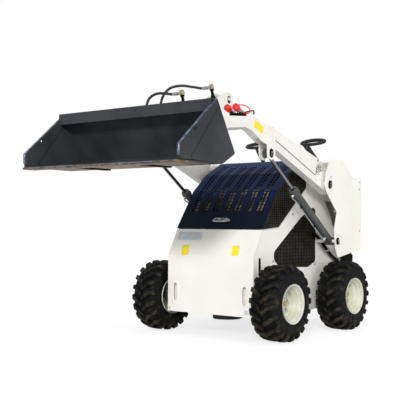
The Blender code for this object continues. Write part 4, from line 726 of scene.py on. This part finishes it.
SLEEVE = ((0, 0), (0.0085, 0.0), (0.0125, 0.001), (0.0125, 0.011), (0.0105, 0.012), (0.0105, 0.014),
    (0.0118, 0.016), (0.0118, 0.04), (0.0108, 0.042), (0.0095, 0.0425), (0, 0.0425))
for name, knots in HOSE_ROUTES.items():
    line = smoothed(knots, 481)
    way = np.linspace(0, HOSE_LENGTHS[name], len(line))[:, None]
    turn = np.linspace(0, 2 * math.pi, 16, endpoint=False)
    guard = GUARD_RADIUS + GUARD_RIB * np.clip(1.4 * np.cos(2 * math.pi * way / GUARD_PITCH - turn), -1, 1)
    hose = tube(f"hose_{name}", line, guard, hose_black, None)
    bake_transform(hose)
    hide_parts(f"tilt_hose_{name}")
    sleeves = [edged(spun(f"hose_sleeve_{name}_{end}", SLEEVE, line[start], line[toward] - line[start], zinc,
        body, 32)) for end, start, toward, body in (("port", 0, 1, "tilt_barrel"), ("fitting", -1, -2, "arms"))]


# Tilt cylinder's ports. A welded black riser carries a zinc banjo block, which a brass bolt holds down and
# from which the hose leaves sideways.
tilt_up = np.array((0.0, tilt_along[2], -tilt_along[1]))
for index, distance in enumerate((0.107, 0.44)):
    top = tilt_base + tilt_along * distance + tilt_up * 0.1
    edged(spun(f"port_riser_{index}", ((0, 0), (0.015, 0), (0.015, -0.01), (0.0105, -0.013), (0.0105, -0.04),
        (0.0135, -0.042), (0.0135, -0.054), (0.018, -0.058), (0.02, -0.064), (0, -0.064)),
        top - tilt_up * 0.012, tilt_up, gloss_black, "tilt_barrel", 32))
    rounded_box(f"port_block_{index}", (0.03, 0.026, 0.024), top, ((1, 0, 0), tilt_along, tilt_up), 0.005, zinc,
        "tilt_barrel")
    edged(spun(f"port_stub_{index}", ((0, 0.036), (0.0095, 0.036), (0.0095, 0.026), (0.0125, 0.025),
        (0.0125, 0.012), (0, 0.012)), top, (-1, 0, 0), zinc, "tilt_barrel", 6))
    edged(spun(f"port_bolt_{index}", ((0, 0.0225), (0.0115, 0.0225), (0.0135, 0.0215), (0.0135, 0.014),
        (0.015, 0.0135), (0.015, 0.0115), (0, 0.0115)), top, tilt_up, brass, "tilt_barrel", 6))


# Engine bay. A black core follows the hood's skin from inside. Its lower part is coloured as the radiator's
# dusty fins with painted sunlight on the dust, which show pale through the hood's slots, and black linings
# stand behind the grilles. The near-black of the core and of the linings is painted shade of the bay's inside.
paint, place = finish("painted_shade_and_dusty_fins", (0.006, 0.006, 0.006), 0.7, **{"Specular IOR Level": 0.1})
height, width = place.axis("Z"), place.axis("X")
gaps = width.math("SINE", width * 1500.0)
# Partly dust and partly painted sunlight: the pale tan patches on the fins.
dust_and_sunlight = noise(place, 10.0, 7.0).ramp(0.38, 0.62) * 0.65 + 0.1
sunlit_dusty_fins = height.ramp(0.862, 0.88) * height.ramp(1.06, 1.0) * dust_and_sunlight
# Painted shade: the near-black of the bay's inside.
painted_bay_shade = noise(place, 15.0).ramp(0.3, 0.7).mixed((0.0015, 0.0015, 0.0015), (0.005, 0.0045, 0.004))
painted_shade_and_dusty_fins = feed(paint, Base_Color=(sunlit_dusty_fins * (gaps * 0.2 + 0.8)).mixed(painted_bay_shade, (0.86, 0.7, 0.43)),
    Roughness=noise(place, 60.0) * 0.3 + 0.5)
SHROUD = np.array([(-0.045, 0.77), (0.112, 0.985), (0.258, 1.108), (0.436, 1.202), (0.52, 1.212), (0.52, 1.135),
    (0.462, 1.128), (0.462, 1.05), (0.12, 0.775)])
plate("fan_shroud", [SHROUD], 0.69, 0.0, painted_shade_and_dusty_fins, "chassis")
for side, facing in SIDES:
    # Painted shade: a near-black sheet behind each grille.
    plate(f"bay_shade_sheet_{side}", [OPENING + outwards * 0.03], 0.003, facing * 0.33, painted_shade_and_dusty_fins, "chassis")


# Bucket's details. Thicker cutter plates are welded over both faces of each side, weld beads run down the
# inner corners, and wear bars and a worn, rusty floor show from below. A black line of painted shade runs
# along each outer cutter plate's rear edge, and the worn front edges carry a painted bluish highlight.
def slot_reach(length, width, angle):
    """From a slot's middle to that of its first half circle."""
    angle = math.radians(angle)
    return np.array((math.cos(angle), math.sin(angle))) * (length - width) / 2


def obround(middle, length, width, angle=90.0, steps=12):
    """Points round a slot's outline: two half circles whose middles lie along an angle from the first axis."""
    turn = np.radians(angle) + np.linspace(-math.pi / 2, math.pi / 2, steps)
    arc = np.stack([np.cos(turn), np.sin(turn)], -1) * width / 2
    reach = slot_reach(length, width, angle)
    return np.concatenate([arc + reach, -arc - reach]) + middle


def ring(middle, radius, steps=32):
    """Points round a circle."""
    turn = np.linspace(0, 2 * math.pi, steps, endpoint=False)
    return np.stack([np.cos(turn), np.sin(turn)], -1) * radius + middle


def straights(corners, count):
    """Points at even steps along the straight lines from corner to corner."""
    return np.concatenate([np.linspace(a, b, count) for a, b in zip(corners, corners[1:])])


paint, place = finish("worn_steel", (0.16, 0.14, 0.12), 0.42, 0.35)
along_travel = place.node("Mapping", {}, {"Vector": place, "Scale": (9.0, 1.6, 9.0)})
rust = (noise(along_travel, 3.0, 8.0) * 0.6 + noise(place, 24.0, 8.0) * 0.45).ramp(0.42, 0.66)
worn = feed(paint, Base_Color=rust.mixed((0.05, 0.046, 0.044), (0.3, 0.175, 0.075)),
    Roughness=noise(place, 50.0) * 0.3 + 0.3, Normal=bump(noise(place, 120.0, 4.0), 0.3, 0.001))
# Partly wear and partly painted highlight: worn bare steel tinted light bluish grey as the sky's highlight on
# edges.
worn_and_highlit = coat("edge_wear_and_painted_highlight", (0.16, 0.19, 0.26), 0.38, 30.0, ((0.09, 0.11, 0.16), (0.26, 0.31, 0.42)),
    (80.0, 0.3, 0.25), spread=(0.35, 0.65), detail=4.0, metallic=0.6)
CUTTER = [(-0.9385, 1.462), (-1.1965, 1.149), (-1.1965, 1.1315), (-1.2905, 1.1315), (-1.2985, 1.211),
    (-0.961, 1.497)]
HOOK = (-1.1594, 1.3039)
for side, facing in SIDES:
    for face, x in (("outer", 0.6387), ("inner", 0.6243)):
        plate(f"cutter_{side}_{face}", [CUTTER, ring(HOOK, 0.0112)], 0.0044, facing * x, charcoal, "bucket",
            bevel=0.0008)
    corner = smoothed([(facing * 0.6255, *at) for at in ((-0.97, 1.455), (-0.942, 1.454), (-0.933, 1.435),
        (-0.86, 1.319), (-0.792, 1.202), (-0.795, 1.19), (-0.903, 1.13), (-0.92, 1.129), (-1.19, 1.129))], 300)
    bead = 0.0036 + 0.0005 * np.sin(np.arange(300) * 2.1)
    tube(f"bucket_weld_{side}", corner, bead, charcoal, "bucket", 10)
    # Painted shade: a thin black line along the outer cutter plate's rear edge.
    toe = [(facing * 0.64, *at) for at in ((-0.9385, 1.462), (-1.1965, 1.149), (-1.1965, 1.1315))]
    tube(f"cutter_edge_shade_line_{side}", straights(toe, 90), 0.0016, gloss_black, "bucket", 8)
    # Worn front edge of each cutter plate, with a painted bluish highlight.
    plate(f"cutter_wear_highlight_{side}", [[(-1.2998, 1.15), (-1.2998, 1.2115), (-0.964, 1.4978), (-0.9606, 1.494),
        (-1.295, 1.209), (-1.295, 1.15)]], 0.017, facing * 0.6315, worn_and_highlit, "bucket")
plate("bucket_floor_rub", [[(-0.6, -1.202), (0.6, -1.202), (0.6, -0.905), (-0.6, -0.905)]], 0.0012, 1.1222,
    worn, "bucket", view="top")
for index, x in enumerate((-0.27, 0.24)):
    rounded_box(f"wear_bar_{index}", (0.04, 0.3, 0.009), (x, -1.055, 1.118), SQUARE, 0.0025, gloss_black,
        "bucket")
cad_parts["cutting_edge"].data.materials.clear()
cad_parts["cutting_edge"].data.materials.append(worn)
low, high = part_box("cutting_edge")
# Worn strip along the cutting edge's front, with a painted bluish highlight.
rounded_box("cutting_edge_wear_highlight", (high.x - low.x, 0.01, 0.0045), (0, low.y + 0.0055, high.z - 0.0015), SQUARE,
    0.0016, worn_and_highlit, "bucket")


# Pins and pivots. Each pin's domed end sits in an obround pressing, drawn as a flat black obround whose black
# is painted shade of the pressing's recess, with a plated grease fitting beside it, and plated button screws
# hold the towers' covers.
def pivot(name, x, facing, middle, length, width, depth, body, angle=90.0):
    """A flat black obround, painted shade of the recess round a pin's end, a domed pin in it and a grease
    fitting.
    """
    y, z = middle
    plate(f"{name}_cover", [obround(middle, length, width, angle)], depth, facing * (x + depth / 2),
        painted_shade_and_dusty_fins, body, bevel=min(0.0012, depth / 3))
    face = facing * (x + depth)
    reach = slot_reach(length, width, angle)
    edged(spun(f"{name}_pin", ((0, 0.0035), (width * 0.24, 0.003), (width * 0.3, 0.0015), (width * 0.3, 0),
        (0, 0)), (face, y - reach[0], z - reach[1]), (facing, 0, 0), barrel_paint, body, 32))
    edged(spun(f"{name}_fitting", ((0, 0.006), (0.003, 0.0058), (0.0034, 0.0045), (0.0026, 0.0035),
        (0.0058, 0.0025), (0.0058, 0), (0, 0)), (face, y + reach[0], z + reach[1]), (facing, 0, 0), zinc, body,
        20))


for side, facing in SIDES:
    pivot(f"lift_pin_{side}", 0.54, facing, (0.5235, 1.063), 0.06, 0.04, 0.0086, "chassis", 80.0)
    pivot(f"base_pin_{side}", 0.54, facing, (0.6375, 0.655), 0.052, 0.036, 0.0086, "chassis", 100.0)
    pivot(f"eye_pin_{side}", 0.5097, facing, (-0.1955, 1.241), 0.06, 0.044, 0.003, "arms", 90.0)
    pivot(f"tilt_pin_{side}", 0.0565, facing, (-0.0475, 1.648), 0.054, 0.03, 0.003, "arms", 90.0)
    # (y, z) of the tower's plated button screws
    for index, (y, z) in enumerate(((0.5395, 1.119), (0.98, 1.1), (0.98, 1.045), (0.98, 0.73), (0.685, 0.69),
            (0.59, 0.87))):
        spun(f"tower_screw_{side}_{index}", ((0, 0.0045), (0.004, 0.0042), (0.0062, 0.0024), (0.0068, 0.0),
            (0, 0)), (facing * 0.54, y, z), (facing, 0, 0), zinc, "chassis", 24)


# Arms' fittings. The hose cover's lower lip leaves a shadowed gap along the arm, weld beads run round the
# gusset plates, and two plated bulkhead fittings stand out of the cover's open rear end.
gap_shade = coat("gap_brown", (0.1, 0.085, 0.055), 0.7, 20.0, ((0.06, 0.05, 0.034), (0.16, 0.14, 0.095)))
GAP = np.array([(0.376, 1.1262), (-0.14, 1.3295)])
gap_across = np.array((0.3665, 0.9304)) * 0.0032
gap_loop = np.concatenate([GAP - gap_across, GAP[::-1] + gap_across])
for side, facing in SIDES:
    plate(f"cover_gap_{side}", [gap_loop], 0.0012, facing * 0.5052, gap_shade, "arms")
    for index, ends_at in enumerate((((0.425, 1.1872), (0.54, 1.195)), ((0.425, 1.1597), (0.525, 1.165)))):
        start, stop = (np.array((facing * 0.47, *at)) for at in ends_at)
        edged(spun(f"bulkhead_{side}_{index}", ((0, 0), (0.0075, 0), (0.0075, 0.03), (0.0125, 0.031),
            (0.0125, 0.046), (0.0095, 0.047), (0.0095, 0.062), (0.012, 0.064), (0.012, 0.08), (0, 0.08)), start,
            stop - start, zinc, "arms", 6))
    weld = [(facing * 0.5095, *at) for at in ((-0.1505, 1.205), (-0.1505, 1.386), (-0.241, 1.404),
        (-0.241, 1.205))]
    tube(f"gusset_weld_{side}", straights(weld, 60), 0.0022 + 0.0004 * np.sin(np.arange(180) * 2.1), white,
        "arms", 8)


# Oil pipes. From each lift cylinder's base two black pipes in plated clamps curve down behind the tower and
# under the floor.
# (x, y, z) down the left side's outer pipe
PIPE = ((0.372, 0.59, 0.7), (0.386, 0.6285, 0.6806), (0.39, 0.6623, 0.6576), (0.39, 0.7541, 0.5876),
    (0.39, 0.8479, 0.5276), (0.388, 0.92, 0.4955), (0.378, 0.97, 0.485))
for side, facing in SIDES:
    for index, shift_in in enumerate((0.0, 0.02)):
        way = smoothed([(facing * (x - shift_in), y, z + shift_in) for x, y, z in PIPE], 60)
        tube(f"oil_pipe_{side}_{index}", way, 0.0095, gloss_black, "chassis", 16)
    for index, (y, z) in enumerate(((0.6623, 0.6576), (0.7541, 0.5876))):
        rounded_box(f"pipe_clamp_{side}_{index}", (0.04, 0.014, 0.03), (facing * 0.386, y, z),
            ((1, 0, 0), (0, 0.8, -0.6), (0, 0.6, 0.8)), 0.004, zinc, "chassis")


# Stickers and plates. Plain vinyl with rounded corners, blank: yellow on the arms and the cowl, and a pale
# blue-grey label beside the cowl's top edge, whose blue-grey is painted shadow of the bucket on a light label.
def sticker(name, corners, material, body, radius=0.1, thickness=0.0006):
    """A thin slab with rounded corners between four corners: bilinear in them, lifted along their normal."""
    a, b, c, d = (np.asarray(corner, float) for corner in corners)
    quarter = np.linspace(0, math.pi / 2, 6)
    unit = np.concatenate([np.stack([np.cos(quarter + turn), np.sin(quarter + turn)], -1) * radius
        + (np.array(at) * (1 - 2 * radius) + radius) for turn, at in ((math.pi, (0, 0)), (-math.pi / 2, (1, 0)),
        (0, (1, 1)), (math.pi / 2, (0, 1)))])
    u, v = unit[:, :1], unit[:, 1:]
    flat = (1 - u) * (1 - v) * a + u * (1 - v) * b + u * v * c + (1 - u) * v * d
    normal = np.cross(b - a, d - a)
    normal /= np.linalg.norm(normal)
    points = np.stack([flat.mean(0) + 0 * flat, flat, flat + normal * thickness,
        flat.mean(0) + normal * thickness + 0 * flat])
    return edged(put(name, points, quads(4, len(flat), wrap_columns=True), material, body))


yellow = coat("yellow_vinyl", (0.9, 0.78, 0.01), 0.35, 40.0, ((0.84, 0.72, 0.006), (0.94, 0.84, 0.02)),
    (90.0, 0.2, 0.25), **{"Coat Weight": 0.3})
pale = coat("pale_vinyl_and_painted_shadow", (0.6, 0.66, 0.68), 0.35, 25.0, ((0.5, 0.56, 0.59), (0.6, 0.66, 0.68)),
    (90.0, 0.2, 0.25), **{"Coat Weight": 0.3})
sticker("arm_sticker_left", ((0.5052, -0.3923, 1.3937), (0.5052, -0.2906, 1.3587), (0.5052, -0.2768, 1.4031),
    (0.5052, -0.3777, 1.4419)), yellow, "arms")
sticker("arm_sticker_right", ((-0.5052, -0.2906, 1.3587), (-0.5052, -0.3923, 1.3937),
    (-0.5052, -0.3777, 1.4419), (-0.5052, -0.2768, 1.4031)), yellow, "arms")
sticker("cowl_sticker_right", ((-0.25, -0.1935, 0.5517), (-0.1855, -0.1908, 0.5564), (-0.204, -0.1503, 0.627),
    (-0.2705, -0.1511, 0.6256)), yellow, "chassis", 0.2)
sticker("cowl_sticker_left", ((0.1839, -0.1879, 0.5615), (0.2451, -0.1884, 0.5606), (0.2296, -0.1481, 0.6307),
    (0.1689, -0.1489, 0.6294)), yellow, "chassis", 0.2)
# Painted shadow: the label is coloured as a light label in the bucket's shadow.
sticker("cowl_label_in_painted_shadow", ((-0.3282, -0.1318, 0.6592), (-0.1141, -0.1296, 0.663), (-0.1292, -0.0968, 0.72),
    (-0.3412, -0.0983, 0.7175)), pale, "chassis", 0.04)


# Front plate's fittings. Pressed rims stand round the tie-down slots, with the white frame close behind them,
# a countersunk screw holds the plate at each side, and black strips over the side panels' slots are painted
# shade of their insides.
for side, facing in SIDES:
    slot_middle = np.array((facing * 0.298, 0.295))
    plate(f"tie_down_rim_{side}", [obround(slot_middle, 0.142, 0.056), obround(slot_middle, 0.12, 0.034)],
        0.005, -0.1925, white, "chassis", view="front", bevel=0.0012)
    rounded_box(f"tie_down_frame_{side}", (0.09, 0.006, 0.17), (facing * 0.298, -0.164, 0.295), SQUARE, 0.002,
        white, "chassis")
    spun(f"plate_screw_{side}_0", ((0, 0.0018), (0.003, 0.0018), (0.006, 0.0008), (0.0066, 0), (0, 0)),
        (facing * 0.348, -0.1907, 0.176), (0, -1, 0), zinc, "chassis", 24)
    # Painted shade: a thin black strip over each side panel's slot.
    plate(f"slot_shade_strip_{side}", [obround((-0.1105, 0.5005), 0.1, 0.024)], 0.0016,
        facing * (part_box("side_panel_left")[1].x + 0.0007), painted_shade_and_dusty_fins, "chassis")
sticker("plate_label", ((0.296, -0.1909, 0.172), (0.33, -0.1909, 0.172), (0.33, -0.1909, 0.2),
    (0.296, -0.1909, 0.2)), pale, "chassis", 0.08)


# Auxiliary couplers. A bolted black bracket on the crossmember holds two push-on oil couplers of zinc-plated
# steel, tilted up, each under a red dust cap; a moulded red strap ties one cap to a wire hook.
red = coat("red_cap", (0.8, 0.01, 0.012), 0.32, 60.0, ((0.74, 0.006, 0.009), (0.9, 0.016, 0.014)),
    (160.0, 0.3, 0.2), **{"Coat Weight": 0.3})
rounded_box("coupler_bracket", (0.112, 0.068, 0.012), (0.385, -0.4055, 1.4445), SQUARE, 0.003, gloss_black,
    "arms")
rounded_box("coupler_block", (0.108, 0.046, 0.042), (0.385, -0.399, 1.469), SQUARE, 0.005, gloss_black, "arms")
coupler_way = np.array((0.0, -0.8944, 0.4472))
for index, x in enumerate((0.352, 0.418)):
    foot = np.array((x, -0.4055, 1.4884))
    edged(spun(f"coupler_body_{index}", ((0, -0.012), (0.0185, -0.012), (0.0195, -0.01), (0.0195, 0.006),
        (0.0165, 0.008), (0.0165, 0.022), (0.0178, 0.024), (0.0178, 0.046), (0.015, 0.048), (0, 0.048)), foot,
        coupler_way, zinc, "arms", 48))
    edged(spun(f"coupler_cap_{index}", ((0, 0.086), (0.0165, 0.086), (0.0205, 0.083),
        (0.0222, 0.078), (0.0225, 0.052), (0.0205, 0.0505), (0.0205, 0.046), (0.0172, 0.046), (0.0172, 0.05),
        (0, 0.05)), foot, coupler_way, red, "arms", 96), 50)
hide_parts("couplers")
strap = smoothed([(0.412, -0.456, 1.528), (0.426, -0.445, 1.535), (0.445, -0.43, 1.5345),
    (0.468, -0.418, 1.525), (0.486, -0.415, 1.508), (0.489, -0.412, 1.493), (0.478, -0.408, 1.484),
    (0.456, -0.406, 1.483), (0.432, -0.406, 1.486)], 60)
tube("cap_strap", strap, 0.0038, red, "arms", 16)
hook = smoothed([(0.42, -0.396, 1.486), (0.45, -0.39, 1.495), (0.482, -0.386, 1.499), (0.496, -0.386, 1.498),
    (0.501, -0.386, 1.489), (0.4985, -0.386, 1.474)], 40)
tube("strap_hook", hook, 0.0046, gloss_black, "arms", 14)


# Drive levers. A steel post in a ribbed rubber bellows carries a moulded loop that the hand closes on, with
# a thicker palm side.
moulded = coat("moulded_black", (0.01, 0.01, 0.011), 0.4, 12.0, ((0.01, 0.01, 0.011), (0.026, 0.026, 0.027)),
    (60.0, 0.3, 0.25), (700.0, 2.0, 0.25, 0.0004), **{"Specular IOR Level": 0.3})
# The way out of the dash's sloping face
DASH_UP = np.array((0.0, 0.3727, 0.928))
# The loop's half width, and its reach along y and z
LOOP = np.array((0.1, 0.0425, 0.02))
# (way, radius) of the bellows' folds
BELLOWS = ((0.0, 0.032), (0.003, 0.032), (0.006, 0.0285), (0.012, 0.0255), (0.016, 0.0275), (0.021, 0.0235),
    (0.026, 0.025), (0.031, 0.0205), (0.036, 0.022), (0.041, 0.018), (0.046, 0.019), (0.051, 0.015),
    (0.056, 0.0155), (0.06, 0.0105))
# (side, x of the foot, of the loop's middle and of the post's two prongs)
for side, foot_x, loop_x, prongs in (("left", 0.245, 0.238, (0.168, 0.214)),
        ("right", -0.245, -0.276, (-0.222, -0.262))):
    foot = np.array((foot_x, 0.8224, 1.2288))
    edged(spun(f"lever_bellows_{side}", [(0, 0), *((radius, way) for way, radius in BELLOWS), (0, 0.06)], foot,
        DASH_UP, moulded, "chassis", 48), 60)
    for index, prong in enumerate(prongs):
        fall = -math.sqrt(1 - ((prong - loop_x) / LOOP[0])**2)
        tip = np.array((prong, 0.8029 + LOOP[1] * fall, 1.4055 + LOOP[2] * fall))
        root = foot + DASH_UP * 0.05
        way = smoothed([foot + DASH_UP * 0.03, root, root * 0.45 + tip * 0.55 + (0, -0.006, 0), tip], 24)
        tube(f"lever_post_{side}_{index}", way, np.interp(np.linspace(0, 1, 24), (0, 0.4, 0.7, 1),
            (0.015, 0.013, 0.0115, 0.0105)), moulded, "chassis", 24)
    turn = np.linspace(0, 2 * math.pi, 96, endpoint=False)
    oval = np.stack([np.cos(turn), np.sin(turn), np.sin(turn)], -1) * LOOP + (loop_x, 0.8029, 1.4055)
    fat = 0.012 + 0.0025 * np.clip(np.sin(turn), 0, 1)
    along = np.roll(oval, -1, 0) - np.roll(oval, 1, 0)
    along /= np.linalg.norm(along, axis=1, keepdims=True)
    across_ring = np.cross(along, (0, 0, 1.0))
    above = np.cross(across_ring, along)
    around = np.linspace(0, 2 * math.pi, 20, endpoint=False)[None, :, None]
    outline = np.cos(around) * across_ring[:, None] + np.sin(around) * above[:, None]
    points = oval[:, None] + fat[:, None, None] * outline
    loop = put(f"lever_loop_{side}", points, quads(96, 20, wrap_rows=True, wrap_columns=True), moulded,
        "chassis")
    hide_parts(f"lever_{side}")


# Dash and platform. Two round gauges with plated bezels, a key switch, pilot lamps and a throttle's knob sit
# on the dash, screws hold the rear panel, and the platform's floor is pressed up into treads.
def on_dash(x, y):
    """The point of the dash's face above x and y: its plane lies 1.4468 m from the origin along DASH_UP."""
    return np.array((x, y, (1.4468 - DASH_UP[1] * y) / DASH_UP[2]))


dial = coat("dial_face", (0.7, 0.7, 0.66), 0.3, 30.0, ((0.62, 0.62, 0.58), (0.76, 0.76, 0.72)),
    (120.0, 0.2, 0.2), **{"Coat Weight": 0.8, "Coat Roughness": 0.03})
amber = coat("pilot_lamp", (0.6, 0.16, 0.01), 0.2, 90.0, ((0.5, 0.12, 0.008), (0.75, 0.25, 0.02)),
    (200.0, 0.2, 0.1), **{"Coat Weight": 0.8})
for index, x in enumerate((-0.055, 0.045)):
    seat = on_dash(x, 0.885)
    edged(spun(f"gauge_bezel_{index}", ((0.027, 0.004), (0.029, 0.0085), (0.032, 0.0085), (0.0335, 0.005),
        (0.0335, 0.0), (0.027, 0.0), (0.027, 0.004)), seat, DASH_UP, zinc, "chassis", 64))
    spun(f"gauge_dial_{index}", ((0, 0.005), (0.0272, 0.0046), (0.0272, 0.0), (0, 0.0)), seat, DASH_UP, dial,
        "chassis", 64)
    needle = on_dash(x - 0.006, 0.894) + DASH_UP * 0.0056
    tube(f"gauge_needle_{index}", np.linspace(seat + DASH_UP * 0.0056, needle, 6), 0.0009, gloss_black,
        "chassis", 8)
    edged(spun(f"gauge_hub_{index}", ((0, 0.0075), (0.0022, 0.0072), (0.0028, 0.0045), (0, 0.0045)), seat,
        DASH_UP, gloss_black, "chassis", 24))
seat = on_dash(0.13, 0.885)
edged(spun("key_switch", ((0, 0.0095), (0.008, 0.0095), (0.0105, 0.008), (0.0105, 0.0045), (0.015, 0.0045),
    (0.0165, 0.003), (0.0165, 0.0), (0, 0.0)), seat, DASH_UP, zinc, "chassis", 48))
rounded_box("key_bow", (0.0026, 0.018, 0.02), seat + DASH_UP * 0.0215, ((1, 0, 0), (0, DASH_UP[2], -DASH_UP[1]),
    DASH_UP), 0.0012, zinc, "chassis")
for index, x in enumerate((-0.15, -0.125, -0.175)):
    edged(spun(f"pilot_lamp_{index}", ((0, 0.006), (0.003, 0.0052), (0.0048, 0.003), (0.0062, 0.0026),
        (0.0068, 0.0), (0, 0.0)), on_dash(x, 0.9), DASH_UP, amber, "chassis", 32))
throttle = on_dash(0.0, 0.826)
at = (0.0, throttle[1])
gate = plate("throttle_gate", [obround(at, 0.066, 0.018), obround(at, 0.052, 0.006)], 0.0016, 0.0, zinc,
    "chassis", view="top")
tilted = Matrix.Rotation(-math.atan2(DASH_UP[1], DASH_UP[2]), 4, "X")
gate.data.transform(Matrix.Translation(throttle + DASH_UP * 0.0008) @ tilted
    @ Matrix.Translation((0.0, -throttle[1], 0.0)))
tube("throttle_stem", smoothed([throttle - DASH_UP * 0.004, throttle + DASH_UP * 0.024 + (0, 0.004, 0),
    throttle + DASH_UP * 0.048 + (0, 0.014, 0)], 16), 0.0028, zinc, "chassis", 16)
edged(spun("throttle_knob", ((0, 0.02), (0.006, 0.019), (0.0095, 0.015), (0.0105, 0.0105), (0.0085, 0.005),
    (0.0045, 0.0), (0, 0.0)), throttle + DASH_UP * 0.046 + (0, 0.0135, 0), DASH_UP, moulded, "chassis", 48), 60)
low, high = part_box("rear_panel")
for side, facing in SIDES:
    for index, z in enumerate((0.64, 0.78, 0.915)):
        edged(spun(f"rear_screw_{side}_{index}", ((0, 0.0042), (0.005, 0.0038), (0.0075, 0.0018), (0.008, 0.0),
            (0, 0)), (facing * 0.325, high.y, z), (0, 1, 0), zinc, "chassis", 24))
treads = [obround((x, y), 0.03, 0.0075, angle) for row, y in enumerate(np.arange(1.045, 1.3, 0.0262)) for x,
    angle in ((column * 0.045 + (row % 2) * 0.0225 - 0.2925, 45.0 + 90.0 * ((row + column) % 2))
    for column in range(14 - row % 2))]
plate("platform_treads", treads, 0.003, 0.249, gloss_black, "chassis", view="top", bevel=0.0008)


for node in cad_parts.values():
    if not node.data.materials:
        node.data.materials.append(black)
